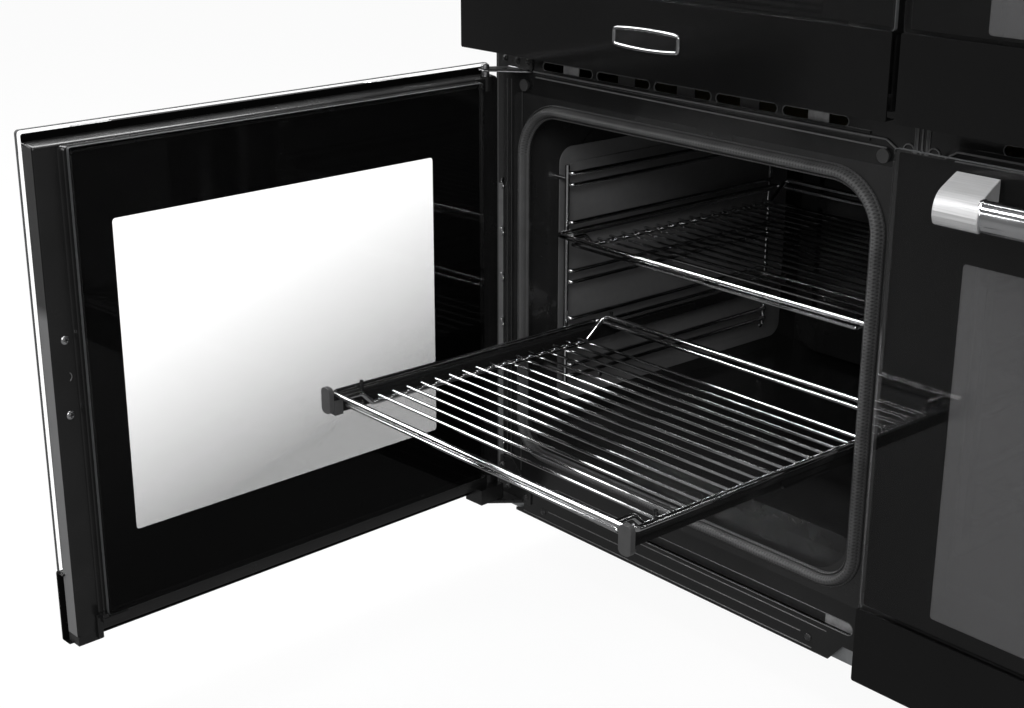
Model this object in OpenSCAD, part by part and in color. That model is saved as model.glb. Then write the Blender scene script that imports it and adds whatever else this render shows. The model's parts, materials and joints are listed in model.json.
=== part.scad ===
// Free-standing electric range cooker with two columns, in millimetres.
// X runs across, Y runs into the cooker and Z runs up from the floor.
// Each column has an oven door hung on its outer side and a drop-down grill door above it.
// It stands in use: the left oven door is open and the left lower shelf is drawn out.
// Column drawings measure u inward from the column's outer side and y back from the closed doors' faces.

/* [Overall] */
// Width over both columns
overall_w = 992; // [984:1:1000]
// Depth from the closed doors' faces to the back
overall_d = 600; // [595:1:620]
// Height from the floor to the hob glass
overall_h = 900; // [895:1:910]
// Offset of the cooker's middle from the origin
mid_x = 29.5; // [25:0.5:34]
// Offset of the closed doors' faces from the origin
front_y = -70; // [-75:1:-65]

/* [Front layout] */
// Gap between the two columns of doors
panel_gap = 8; // [6:1:10]
// Bottom edge of the oven doors
oven_door_z = 75; // [73:1:77]
// Height of an oven door with its strip
oven_door_h = 442.5; // [438:0.5:446]
// Gap between an oven door and the grill door above it
door_gap = 18; // [16:0.5:20]
// Height of the control panel
fascia_h = 89; // [86:1:94]
// Height of the trim strip along the foot of each door
strip_h = 66; // [60:1:70]
// Height of the hob frame with its glass
hob_h = 28; // [26:1:30]

/* [Doors] */
// Depth of the trim strip
strip_t = 10.5; // [9:0.5:11]
// Setback of the outer glass behind the strip
glass_setback = 2.2; // [1:0.1:3]
// Thickness of each glass pane
glass_t = 4; // [3:0.5:4]
// Depth from the strip's face to the back of the pan
pan_back = 32; // [31:0.5:33]
// Sheet thickness of pans, liners and frames
sheet = 1.5; // [1.2:0.1:1.6]
// Distance of an oven door's hinge pin from the column's outer side
pivot_u = 14.4; // [14:0.1:15]
// Distance of every hinge pin behind the doors' faces
pivot_y = 17.7; // [17:0.1:18.5]
// Diameter of the hinge pins
hinge_pin_d = 8; // [7:0.5:8]
// Angle that the left oven door stands open
door_open = 87.5; // [80:0.5:95]
// Distance of the handle bar in front of the doors' faces
handle_out = 45; // [42:1:48]
// Diameter of the handle bar
handle_bar_d = 21.4; // [18:0.2:22]
// Width of a handle end block
handle_block_w = 35; // [30:1:40]
// Distance of a handle block from the door's side
handle_inset = 53.6; // [50:0.2:58]

/* [Cavity] */
// Depth of the front frame behind the closed doors' faces
carcass_y = 43; // [42.5:0.5:44]
// Distance of the cavity's middle from the column's, away from the hinges
cavity_shift = 7; // [5:1:9]
// Room between a cavity and each side of its column
cavity_room = 33; // [32:0.5:35]
// Floor of the oven cavity
cavity_z = 151; // [149:1:153]
// Depth of the oven cavity behind the front frame
cavity_d = 427; // [424:1:430]
// Step from a cavity's wall in to the edge of its mouth
mouth_step = 10; // [8:0.5:12]
// Corner radius of the oven mouth
mouth_r = 40; // [34:1:44]
// Width of the door seal's band
seal_w = 13; // [11:0.5:14]

/* [Shelves] */
// Height of the lowest rung above the floor
rung_first = 198; // [196:0.5:200]
// Pitch of the shelf levels
rung_pitch = 49.9; // [49:0.1:51]
// Spacing of the two wires of a rung
rung_gap = 11.6; // [11.4:0.1:12.5]
// Diameter of the rung wires
rung_d = 4.5; // [4:0.1:4.6]
// Room between a rack and each wall of the cavity
rack_room = 19; // [18.5:0.25:20]
// Depth of a rack between its front and rear wires
rack_depth = 329; // [320:1:334]
// Diameter of a rack's frame wire
rack_wire = 5; // [4.6:0.1:5]
// Diameter of a rack's cross wires
rack_thin = 3; // [2.5:0.1:3.4]
// Number of cross wires in a rack
rack_bars = 16; // [12:1:17]
// Pitch of the cross wires
rack_bar_pitch = 16.2; // [15:0.1:16.4]
// Distance that the left lower shelf is drawn out
rack_out = 273; // [230:1:280]

/* [Hidden] */
$fn = 40;

run_fit = 0.05;
part_gap = 0.4;

left_x = mid_x - overall_w/2;
panel_w = (overall_w - panel_gap)/2;
hob_z = overall_h - hob_h;
fascia_gap = 4;
fascia_z = hob_z - fascia_h;
grill_door_z = oven_door_z + oven_door_h + door_gap;
grill_door_h = fascia_z - fascia_gap - grill_door_z;

skin_inset = 3;
cavity_mid = panel_w/2 + cavity_shift;
cavity_w = panel_w - 2*cavity_room;
cavity_h = oven_door_h - 126.5;
cavity_u = cavity_mid - cavity_w/2;
mouth_w = cavity_w - 2*mouth_step;
mouth_h = cavity_h + 23;
mouth_u = cavity_mid - mouth_w/2;
mouth_z = cavity_z - 16.5;
flange_lip = 12;
flange_w = cavity_w + 2*flange_lip;
flange_u = cavity_mid - flange_w/2;
flange_z = mouth_z - 21.5;
flange_h = mouth_h + 40;
throat_d = 40;
cavity_y = carcass_y + sheet;
cavity_back = cavity_y + cavity_d;
emboss_y = cavity_y + 75;
emboss_t = 1.2;

grill_cavity_z = grill_door_z + 26.5;
grill_cavity_h = grill_door_h - 57.5;
grill_mouth_z = grill_cavity_z + mouth_step;
grill_mouth_h = grill_cavity_h - 2*mouth_step;
grill_cavity_d = 396;
fan_z = cavity_z + cavity_h/2;
fan_cover_y = cavity_back - 35;

oven_door_top = oven_door_z + oven_door_h;
glass_back = glass_setback + glass_t;
pan_inset = 3;
pan_z = oven_door_z + 7;
pan_top = oven_door_top - 8.6;
inner_u = 45;
inner_w = panel_w - inner_u - 29;
inner_z = oven_door_z + 26;
inner_h = oven_door_h - 38.5;
inner_face = pan_back + 1.7;
arm_z = oven_door_top - 5;
arm_t = 3;
lower_arm_z = oven_door_z - 9;

grill_pivot_z = grill_door_z + 12;
grill_pan_z = grill_door_z + 6;
grill_pan_top = grill_door_z + grill_door_h - 8;
grill_arm_u = 23;
grill_boss_w = 13;

handle_drop = 19.4;
handle_z = oven_door_top - handle_drop;
handle_block_h = 25.3;
grill_handle_z = grill_door_z + grill_door_h - handle_drop;

ladder_front = 91;
ladder_rear = 397;
ladder_low = rung_first - 9;
ladder_top = rung_first + 4*rung_pitch + rung_gap + 8;
rung_bend = 5;
rack_w = cavity_w - 2*rack_room;
rack_u = cavity_mid - rack_w/2;
rack_offset = 3;
rung_u = rack_u + rack_wire/2 - rack_offset;
rung_reach = 6;
stile_u = rung_u - rung_reach;
rack_lift = sqrt(pow(rung_d/2 + rack_wire/2 + 0.75*part_gap, 2) - rack_offset*rack_offset);
rack_home_y = 70;
rack_dip = 8;
rack_corner = 7;
rack_inner = rack_w/2 - 21;
rack_rim = 10;
runner_level = 1;
rack_bar_start = 40.5;

rail_u = rung_u + rung_d/2 + 0.35;
rail_w = 7.4;
rail_h = 16.5;
rail_head = 3.55;
rail_slip = 0.3;
head_u = rail_u + rail_slip + rail_head;
head_drop = sqrt(pow(rack_wire/2 + rail_head + 0.1, 2) - pow(head_u - rack_u - rack_wire/2, 2));
rail_top = rung_first + runner_level*rung_pitch + rack_lift - head_drop + rail_head;
rail_front = 67;
rail_rear = 419;
middle_front = 106;
middle_rear = 406;
outer_front = 94;
outer_rear = 424;
cap_top = rail_top + 8;

knob_z = fascia_z + 44;
knob_pitch = 90;
knob_first = 110;
spindle_d = 6;
display_w = 120;
display_h = 40;

foot_u = 60;
foot_front = 150;
foot_back = 540;
foot_stem = 10;
pan_floor = oven_door_z - 21 + sheet;

gland_x = overall_w/2 - 196;
gland_z = 94;
gland_bore = 20;
gland_d = 30;

// Places a column drawing, mirrored for the right column
module in_column(c) {
    if (c == 0) translate([left_x, front_y, 0]) children();
    else translate([left_x + overall_w, front_y, 0]) mirror([1, 0, 0]) children();
}

// Stands a flat drawing up, with its thickness towards the back
module stand(t) {
    translate([0, t, 0]) rotate([90, 0, 0]) linear_extrude(t) children();
}

// Rectangle with round corners, its lower left corner at the origin
module rounded(w, h, r) {
    translate([r, 0]) square([w - 2*r, h]);
    translate([0, r]) square([w, h - 2*r]);
    for (x = [r, w - r], y = [r, h - r]) translate([x, y]) circle(r);
}

// Slot with round ends, centred
module slot(w, h) {
    square([w - h, h], center = true);
    for (s = [-1, 1]) translate([s*(w - h)/2, 0]) circle(d = h);
}

// Straight round wire from one point to another
module wire(from, to, d) {
    v = to - from;
    len = norm(v);
    translate(from) rotate([0, acos(v[2]/len), atan2(v[1], v[0])]) cylinder(h = len, d = d);
}

function unit(v) = v/norm(v);
function turn(a, b) = acos(max(-1, min(1, a*b)));

// Round bend at a corner, from direction a to direction b
module bend(corner, a, b, r, d) {
    phi = turn(a, b);
    n = unit(b - a*cos(phi));
    k = cross(a, n);
    c = corner - a*r*tan(phi/2) + n*r;
    multmatrix([
        [-n[0], a[0], k[0], c[0]],
        [-n[1], a[1], k[1], c[1]],
        [-n[2], a[2], k[2], c[2]],
        [0, 0, 0, 1]
    ]) rotate_extrude(angle = phi) translate([r, 0]) circle(d = d);
}

// Wire through a list of points, with a round bend at each inner point
module bent_wire(p, r, d) {
    last = len(p) - 1;
    dirs = [for (i = [0:last - 1]) unit(p[i + 1] - p[i])];
    cuts = [for (i = [0:last]) i == 0 || i == last ? 0 : r*tan(turn(dirs[i - 1], dirs[i])/2)];
    for (i = [0:last - 1]) wire(p[i] + dirs[i]*cuts[i], p[i + 1] - dirs[i]*cuts[i + 1], d);
    for (i = [1:last - 1]) bend(p[i], dirs[i - 1], dirs[i], r, d);
}

module base_frame() {
    wall = 2;
    front = carcass_y + 4;
    back = overall_d - 6;
    inset = skin_inset + wall;
    color("#3a3b3d") translate([left_x, front_y, 0]) {
        difference() {
            translate([inset, front, pan_floor])
                cube([overall_w - 2*inset, back - front, 20]);
            translate([inset + wall, front + wall, pan_floor + wall])
                cube([overall_w - 2*(inset + wall), back - front - 2*wall, 20]);
            for (u = [foot_u, overall_w - foot_u], y = [foot_front, foot_back])
                translate([u, y, pan_floor - 1]) cylinder(h = 4, d = foot_stem + 4);
            for (i = [-4:4])
                translate([overall_w/2 + i*90, overall_d/2, pan_floor - 1])
                    linear_extrude(4) rotate(90) slot(160, 8);
        }
        for (u = [foot_u, overall_w - foot_u], y = [foot_front, foot_back])
            translate([u, y, pan_floor]) difference() {
                cylinder(h = 18, d = foot_stem + 14);
                translate([0, 0, -1]) cylinder(h = 20, d = foot_stem + 0.2);
            }
    }
}

module feet() {
    color("#202021") translate([left_x, front_y, 0])
        for (u = [foot_u, overall_w - foot_u], y = [foot_front, foot_back])
            translate([u, y, 0]) {
                cylinder(h = 8, d = 38);
                translate([0, 0, 8]) cylinder(h = 8, d = 20, $fn = 6);
                cylinder(h = pan_floor + 16, d = foot_stem);
            }
}

module side_panels() {
    low = 62;
    color("#1d1d1e") for (c = [0, 1]) in_column(c) {
        translate([skin_inset, carcass_y, low])
            cube([sheet, overall_d - sheet - carcass_y, hob_z - low]);
        translate([skin_inset + sheet, overall_d - 2*sheet, low + 20])
            cube([15, sheet, hob_z - low - 20]);
    }
}

module back_panel() {
    low = 82;
    color("#8d8f92") translate([left_x, front_y + overall_d - sheet, 0]) difference() {
        translate([skin_inset + sheet, 0, low])
            cube([overall_w - 2*(skin_inset + sheet), sheet, hob_z - low]);
        for (c = [-1, 1], i = [-6:6])
            translate([overall_w/2 + c*250 + i*22, -1, grill_cavity_z + grill_cavity_h/2]) stand(sheet + 2)
                rotate(90) slot(90, 7);
        translate([overall_w/2 + gland_x, -1, gland_z]) stand(sheet + 2) circle(d = gland_d + 1);
    }
}

// Sheet outline of one column's front below the mouth, down to the bottom rail
module rail_outline() {
    foot = oven_door_z - 21;
    far = panel_w - 32;
    polygon([[32, foot], [far - 17, foot], [far - 4, foot + 16], [far, foot + 21], [44, foot + 21],
        [44, foot + 5], [32, foot + 3]]);
}

module front_frame() {
    foot = oven_door_z - 21;
    vent_pitch = (panel_w - 201.6)/4;
    vent_h = 7.5;
    slot_w = panel_w - 115;
    color("#161617") {
        difference() {
            union() {
                translate([left_x + skin_inset + sheet, front_y + carcass_y, oven_door_z - 3]) stand(sheet)
                    square([overall_w - 2*(skin_inset + sheet), hob_z - oven_door_z + 3]);
                for (c = [0, 1]) in_column(c) {
                    translate([0, carcass_y, 0]) stand(sheet) rail_outline();
                    translate([34, carcass_y, foot]) cube([panel_w - 87, 14, sheet]);
                    for (z = [oven_door_top - 7, oven_door_top - 1.5])
                        translate([58, carcass_y - 1.2, z - 1.2]) cube([panel_w - 102, 2, 2.4]);
                }
            }
            for (c = [0, 1]) in_column(c) translate([0, carcass_y - 3, 0]) {
                translate([flange_u, 0, flange_z]) stand(6) rounded(flange_w, flange_h, 8);
                translate([flange_u, 0, grill_mouth_z - 16]) stand(6) rounded(flange_w, grill_mouth_h + 30, 8);
                for (i = [0:4])
                    translate([102.5 + i*vent_pitch, 0, oven_door_top + 3.5]) stand(6)
                        slot(vent_pitch - 6.1, vent_h);
                translate([90 + slot_w/2, 0, oven_door_z + 15.5]) stand(6) slot(slot_w, 11);
                for (z = [105, 152, 200, 250])
                    translate([11.5, 0, oven_door_z + z + 74.8]) stand(6) rotate(90) slot(10, 3.5);
                translate([120, 0, fascia_z + 20]) stand(6) square([panel_w - 232, 40]);
            }
        }
    }
}

// Enamelled box with a flanged, round-cornered mouth and a throat as tall as the mouth
module liner(z0, h, d, mz, mh, r, fz, fh) {
    difference() {
        union() {
            translate([cavity_u - sheet, carcass_y + 0.01, z0 - sheet])
                cube([cavity_w + 2*sheet, d + 2*sheet - 0.01, h + 2*sheet]);
            translate([cavity_u - sheet, carcass_y + 0.01, mz - sheet])
                cube([cavity_w + 2*sheet, throat_d, mh + 2*sheet]);
            translate([flange_u, carcass_y, fz]) stand(sheet) rounded(flange_w, fh, 8);
        }
        translate([cavity_u, carcass_y + sheet, z0]) cube([cavity_w, d, h]);
        translate([cavity_u, carcass_y + sheet, mz]) cube([cavity_w, throat_d - 2*sheet, mh]);
        translate([mouth_u, carcass_y - 2, mz]) stand(sheet + 4) rounded(mouth_w, mh, r);
    }
}

module oven_liner() {
    panel_len = cavity_d - 110;
    color("#131314") {
        difference() {
            liner(cavity_z, cavity_h, cavity_d, mouth_z, mouth_h, mouth_r, flange_z, flange_h);
            translate([cavity_mid, cavity_back - 1, fan_z]) stand(sheet + 2) circle(d = 14);
        }
        for (s = [0, 1])
            translate([cavity_u + s*(cavity_w - emboss_t), emboss_y, cavity_z + 18])
                rotate([90, 0, 90]) linear_extrude(emboss_t) rounded(panel_len, cavity_h - 40, 24);
    }
}

module oven_liner_left() { in_column(0) oven_liner(); }
module oven_liner_right() { in_column(1) oven_liner(); }

module grill_liners() {
    color("#131314") for (c = [0, 1]) in_column(c)
        liner(grill_cavity_z, grill_cavity_h, grill_cavity_d, grill_mouth_z, grill_mouth_h, 20,
            grill_mouth_z - 16, grill_mouth_h + 30);
}

// Closed band of braided seal around a mouth
module seal_band(w, h, r) {
    stand(carcass_y - inner_face - part_gap) difference() {
        rounded(w, h, r);
        translate([seal_w, seal_w]) rounded(w - 2*seal_w, h - 2*seal_w, r - seal_w);
    }
}

module door_seals() {
    color("#77787a") for (c = [0, 1]) in_column(c) {
        translate([mouth_u - seal_w, inner_face + part_gap, mouth_z - seal_w])
            seal_band(mouth_w + 2*seal_w, mouth_h + 2*seal_w, mouth_r + seal_w);
        translate([mouth_u - seal_w, inner_face + part_gap, grill_mouth_z - seal_w])
            seal_band(mouth_w + 2*seal_w, grill_mouth_h + 2*seal_w, 20 + seal_w);
    }
}

module door_bumpers() {
    stem = 2.5;
    color("#2a2a2b") for (c = [0, 1]) in_column(c)
        for (u = [45.6, panel_w - 28.6])
            translate([u, carcass_y, oven_door_top - 17]) rotate([90, 0, 0]) {
                cylinder(h = stem, d = 9);
                translate([0, 0, stem]) cylinder(h = 1.6, d = 11.5);
            }
}

// Wire ladder beside a cavity wall: two uprights and five levels of paired rungs
module ladder() {
    for (y = [ladder_front, ladder_rear]) {
        wire([stile_u, y, ladder_low], [stile_u, y, ladder_top], 5);
        for (z = [ladder_low + 12, ladder_top - 14])
            wire([cavity_u + (y > emboss_y ? emboss_t : 0), y, z], [stile_u, y, z], 5);
    }
    for (level = [0:4], w = [0, 1]) {
        z = rung_first + level*rung_pitch + w*rung_gap;
        bent_wire([[stile_u, ladder_front, z], [rung_u, ladder_front, z], [rung_u, ladder_rear, z],
            [stile_u, ladder_rear, z]], rung_bend, rung_d);
    }
}

// Repeats a drawing on both side walls of a cavity
module both_walls() {
    children();
    translate([2*cavity_mid, 0, 0]) mirror([1, 0, 0]) children();
}

module shelf_supports() {
    color("#c9cbce") for (c = [0, 1]) in_column(c) both_walls() ladder();
}

module fan_covers() {
    w = cavity_w - 60;
    h = cavity_h - 16;
    grille_r = 70;
    low = cavity_z + 8;
    depth = cavity_back - fan_cover_y;
    color("#18181a") for (c = [0, 1]) in_column(c)
        translate([cavity_mid - w/2, fan_cover_y, low]) difference() {
            stand(depth) rounded(w, h, 30);
            translate([sheet, sheet, sheet]) stand(depth) rounded(w - 2*sheet, h - 2*sheet, 28);
            for (i = [-4:4])
                translate([w/2, -1, h/2 + i*12]) stand(4) slot(2*sqrt(grille_r*grille_r - i*i*144), 6);
            for (s = [-1, 1], i = [-2:2])
                translate([w/2 + s*(w/2 - 25), -1, h/2 + i*44]) stand(4) rotate(90) slot(34, 7);
        }
}

module fan_motors() {
    color("#8b8d90") for (c = [0, 1]) in_column(c)
        translate([cavity_mid, cavity_back + sheet, fan_z]) rotate([-90, 0, 0]) {
            cylinder(h = 6, d = 110);
            translate([0, 0, 6]) cylinder(h = 38, d = 68);
            translate([0, 0, -24]) cylinder(h = 26, d = 8);
        }
}

// Fan wheel with flat blades, on its motor shaft
module fan() {
    color("#a9abae") translate([cavity_mid, cavity_back - 7, fan_z]) rotate([90, 0, 0]) difference() {
        union() {
            cylinder(h = 1.5, d = 150);
            cylinder(h = 21, d = 26);
            for (i = [0:11]) rotate(i*30) translate([40, -0.75, 0]) cube([33, 1.5, 18]);
        }
        translate([0, 0, -1]) cylinder(h = 17, d = 8 + 2*run_fit);
    }
}

module fan_left() { in_column(0) fan(); }
module fan_right() { in_column(1) fan(); }

module oven_elements() {
    ring_r = 92;
    rod = 7;
    z = grill_cavity_z + grill_cavity_h - 18;
    color("#5c5d60") for (c = [0, 1]) in_column(c) {
        translate([cavity_mid, cavity_back - 16, fan_z]) rotate([90, 0, 0]) {
            rotate_extrude() translate([ring_r, 0]) circle(d = rod);
            for (s = [-8, 8]) translate([s, ring_r, -16]) cylinder(h = 16, d = rod);
        }
        for (k = [0:3])
            bent_wire([[cavity_mid - 160 + k*92, cavity_y + grill_cavity_d, z],
                [cavity_mid - 160 + k*92, carcass_y + 60, z],
                [cavity_mid - 114 + k*92, carcass_y + 60, z],
                [cavity_mid - 114 + k*92, cavity_y + grill_cavity_d, z]], 20, rod);
    }
}

module oven_lamps() {
    color("#d8dadc") for (c = [0, 1]) in_column(c)
        translate([cavity_mid - 130, cavity_back - 90, cavity_z + cavity_h]) rotate([180, 0, 0]) {
            cylinder(h = 5, d = 54);
            translate([0, 0, 5]) cylinder(h = 6, d1 = 46, d2 = 38);
        }
}

// Blanket that wraps a liner on every side but its mouth, from a start behind the front frame
module blanket(z0, h, d, t, start) {
    gap = sheet + 0.5;
    difference() {
        translate([cavity_u - t, carcass_y + start, z0 - t])
            cube([cavity_w + 2*t, d + t + 4 - start, h + 2*t]);
        translate([cavity_u - gap, carcass_y, z0 - gap])
            cube([cavity_w + 2*gap, d + sheet + gap, h + 2*gap]);
        translate([cavity_mid, carcass_y + d - 1, fan_z]) stand(t + 8) circle(d = 116);
    }
}

module insulation() {
    color("#cfc9a6") for (c = [0, 1]) in_column(c) {
        blanket(cavity_z, cavity_h, cavity_d, 22, throat_d + 1);
        blanket(grill_cavity_z, grill_cavity_h, grill_cavity_d, 18, 4);
    }
}

function knob_x(i) = (i < 4 ? -1 : 1)*(knob_first + (i < 4 ? 3 - i : i - 4)*knob_pitch);

module control_panel() {
    h = hob_z - fascia_z;
    color("#19191a") translate([mid_x, front_y, fascia_z]) difference() {
        translate([-overall_w/2, 0, 0]) cube([overall_w, carcass_y, h]);
        translate([-overall_w/2 + sheet, 2.5, sheet])
            cube([overall_w - 2*sheet, carcass_y, h - 2*sheet]);
        for (i = [0:7])
            translate([knob_x(i), -1, knob_z - fascia_z]) stand(5) circle(d = 10);
        translate([-display_w/2, -1, knob_z - fascia_z - display_h/2]) stand(5)
            square([display_w, display_h]);
    }
}

module rotary_switches() {
    body_w = 34;
    color("#e8e6df") for (i = [0:7])
        translate([mid_x + knob_x(i), front_y + 2.5, knob_z]) difference() {
            union() {
                translate([-body_w/2, 0, -body_w/2]) cube([body_w, 28, body_w]);
                for (s = [-1, 1]) translate([s*10 - 1, 28, -4]) cube([2, 9, 8]);
            }
            translate([0, -1, 0]) stand(24) circle(d = spindle_d + 2*run_fit);
        }
}

module clock_display() {
    color("#0c0c0e") translate([mid_x, front_y, knob_z]) {
        translate([-display_w/2, 0.4, -display_h/2]) cube([display_w, 3, display_h]);
        translate([-display_w/2 + 4, 3.4, -display_h/2 + 4]) cube([display_w - 8, 18, display_h - 8]);
    }
}

// Control knob with its spindle and a raised pointer
module knob(i) {
    color("#b9bbbe") translate([mid_x + knob_x(i), front_y, knob_z]) rotate([90, 0, 0]) {
        translate([0, 0, part_gap]) cylinder(h = 3, d = 44);
        translate([0, 0, part_gap + 3]) cylinder(h = 18, d1 = 38, d2 = 34);
        translate([-1.5, 2, part_gap + 20]) cube([3, 14, 2.4]);
        translate([0, 0, -22]) cylinder(h = 22 + part_gap, d = spindle_d);
    }
}

module knob_1() { knob(0); }
module knob_2() { knob(1); }
module knob_3() { knob(2); }
module knob_4() { knob(3); }
module knob_5() { knob(4); }
module knob_6() { knob(5); }
module knob_7() { knob(6); }
module knob_8() { knob(7); }

module hob_frame() {
    rim = 6;
    ledge = 16;
    h = hob_h - glass_t;
    color("#1b1b1c") translate([left_x, front_y, hob_z]) difference() {
        linear_extrude(h) rounded(overall_w, overall_d, 6);
        translate([2, 2, 2]) linear_extrude(h) square([overall_w - 4, overall_d - 4]);
    }
    color("#1b1b1c") translate([left_x, front_y, hob_z + h - 3]) difference() {
        translate([rim - 5, rim - 5, 0]) cube([overall_w - 2, overall_d - 2, 3]);
        translate([ledge, ledge, -1]) cube([overall_w - 2*ledge, overall_d - 2*ledge, 5]);
    }
}

module hob_glass() {
    inset = 4;
    color("#0b0b0c") translate([left_x + inset, front_y + inset, overall_h - glass_t])
        linear_extrude(glass_t) rounded(overall_w - 2*inset, overall_d - 2*inset, 5);
}

zone_x = overall_w/2 - 146;
function zones() = [
    [-zone_x, 165, 145], [-zone_x, 430, 180], [0, 300, 210], [zone_x, 165, 180], [zone_x, 430, 145]
];

module hob_elements() {
    color("#8a5a44") for (zone = zones())
        translate([mid_x + zone[0], front_y + zone[1], overall_h - glass_t - 20]) difference() {
            cylinder(h = 19.6, d = zone[2]);
            translate([0, 0, 5]) cylinder(h = 20, d = zone[2] - 16);
        }
}

module terminal_box() {
    w = 96;
    h = 64;
    deep = 34;
    mouth = overall_d;
    color("#2c2c2e") translate([mid_x + gland_x, front_y, gland_z]) difference() {
        union() {
            translate([-w/2, mouth - 12 - deep, -h/2]) cube([w, deep, h]);
            translate([0, mouth - 12, 0]) stand(12) circle(d = gland_d);
        }
        translate([-w/2 + 3, mouth - 9 - deep, -h/2 + 3]) cube([w - 6, deep - 6, h - 6]);
        translate([0, mouth - 17, 0]) stand(20) circle(d = gland_bore);
    }
}

// Steel hinge brackets of an oven door with their pins
module oven_hinges() {
    plate = 1.5;
    face = carcass_y - plate;
    ear_r = 15.5;
    // top bracket: half-round plate on the frame, arm and pin
    difference() {
        translate([36, face, arm_z + arm_t/2]) stand(plate) intersection() {
            circle(r = ear_r);
            translate([-ear_r, 0]) square([2*ear_r, ear_r]);
        }
        for (s = [-8, 8]) translate([36 + s, face - 1, arm_z + arm_t + 7]) stand(4) circle(d = 4.2);
    }
    translate([0, 0, arm_z]) linear_extrude(arm_t) {
        polygon([[pivot_u - 4, pivot_y + 8], [pivot_u + 8, pivot_y - 3.5], [54, carcass_y], [19, carcass_y]]);
        translate([pivot_u, pivot_y]) circle(r = 9);
    }
    translate([pivot_u, pivot_y, pan_top - 13]) cylinder(h = arm_z - pan_top + 13 + arm_t, d = hinge_pin_d);
    // bottom bracket: upright plate with bolt holes, triangular arm and pin
    difference() {
        translate([8, face, lower_arm_z]) stand(plate) polygon([[0, 0], [38, 0], [38, 14], [18, 44], [0, 44]]);
        for (p = [[7, 36], [10, 16], [30, 7]])
            translate([8 + p[0], face - 1, lower_arm_z + p[1]]) stand(4) circle(d = 4.2);
    }
    translate([0, 0, lower_arm_z]) linear_extrude(arm_t) {
        polygon([[pivot_u - 8, pivot_y - 4], [pivot_u + 7, pivot_y - 5.5], [46, carcass_y], [8, carcass_y]]);
        translate([pivot_u, pivot_y]) circle(r = 9);
    }
    translate([pivot_u, pivot_y, lower_arm_z]) cylinder(h = pan_z + 13 - lower_arm_z, d = hinge_pin_d);
}

// Two arms that carry the pins at the foot of a grill door
module grill_hinges() {
    half = 6;
    for (s = [0, 1]) {
        u = s == 0 ? grill_arm_u : panel_w - grill_arm_u - arm_t;
        pin_u = s == 0 ? grill_arm_u - grill_boss_w + 1 : panel_w - grill_arm_u - 1;
        translate([u, 0, 0]) rotate([90, 0, 90]) linear_extrude(arm_t) {
            translate([pivot_y, grill_pivot_z - half]) square([carcass_y - pivot_y, 2*half]);
            translate([pivot_y, grill_pivot_z]) circle(r = half);
        }
        translate([pin_u, pivot_y, grill_pivot_z]) rotate([0, 90, 0])
            cylinder(h = grill_boss_w, d = hinge_pin_d);
    }
}

module hinge_plates() {
    color("#9b9da0") for (c = [0, 1]) in_column(c) {
        oven_hinges();
        grill_hinges();
    }
}

// Repeats a rail drawing for the left and right runner of the left oven, shifted along the rails
module rails(shift) {
    translate([0, shift, 0]) in_column(0) both_walls() children();
}

// Extrudes a section drawn across the rail, u to the right and z up from the rail's top
module along_rail(from, to) {
    translate([rail_u, to, rail_top]) rotate([90, 0, 0]) linear_extrude(to - from) children();
}

module runner_outer() {
    hook_w = 12;
    hook_z = rung_first + runner_level*rung_pitch - rung_d/2 - 3.4;
    color("#3c3d3f") rails(0) {
        along_rail(outer_front, outer_rear) {
            translate([0, -rail_h]) square([1, rail_h - 6.4]);
            translate([0, -rail_h]) square([4.6, 1]);
        }
        for (y = [outer_front + 12, outer_rear - 50]) {
            translate([rung_u - 4, y, hook_z]) cube([rail_u - rung_u + 3.9, hook_w, 3.2]);
            translate([rung_u, y, hook_z]) cube([rail_u - rung_u + 0.6, hook_w, 1.6]);
            translate([rung_u - 4, y, hook_z]) cube([1.2, hook_w, 8]);
        }
    }
}

module runner_middle() {
    color("#28292a") rails(-rack_out/2) along_rail(middle_front, middle_rear) {
        translate([1.4, 1.4 - rail_h]) square([4.4, 1.4]);
        translate([2.9, 1.4 - rail_h]) square([1.4, 7.6]);
        translate([1.4, 7.6 - rail_h]) square([4.4, 1.4]);
    }
}

module runner_inner() {
    head = rail_head;
    pin_u = rail_u + rail_w - 2;
    rest = 1.3;
    color("#141415") rails(-rack_out) {
        difference() {
            along_rail(rail_front, rail_rear) {
                translate([rail_slip, -6]) square([2*head, 6 - head]);
                translate([rail_slip + head, -head]) circle(r = head);
                translate([rail_slip + 2*head - 1.2, 0.5 - rail_h]) square([1.2, rail_h - 4]);
            }
            // rests for the rack's front and rear wires and their corners
            for (y = [rack_home_y - 4, rack_home_y + rack_depth - rack_corner - 1])
                translate([rail_u - 1, y, rail_top - rest]) cube([rail_w + 2, rack_corner + 5, rest + 1]);
        }
        for (y = [rack_home_y + 29, rail_rear - 4])
            translate([pin_u, y, rail_top - 2]) cylinder(h = 10, d = 3.6);
    }
}

module runner_caps() {
    low = rail_top - rail_h;
    lip = rail_u - 5.6;
    wall = 1.2;
    color("#8f9194") rails(-rack_out) difference() {
        union() {
            translate([lip, 62, low]) stand(rail_front - 62 - 0.1) rounded(13, cap_top - low, 5);
            translate([rail_u + 2, rail_front - 0.2, low - wall]) cube([rail_w - 2 + wall, 9, rail_h - 2.6]);
        }
        translate([rail_u, rail_front, low + 0.4]) cube([rail_w + 0.1, 20, rail_h]);
    }
}

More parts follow.
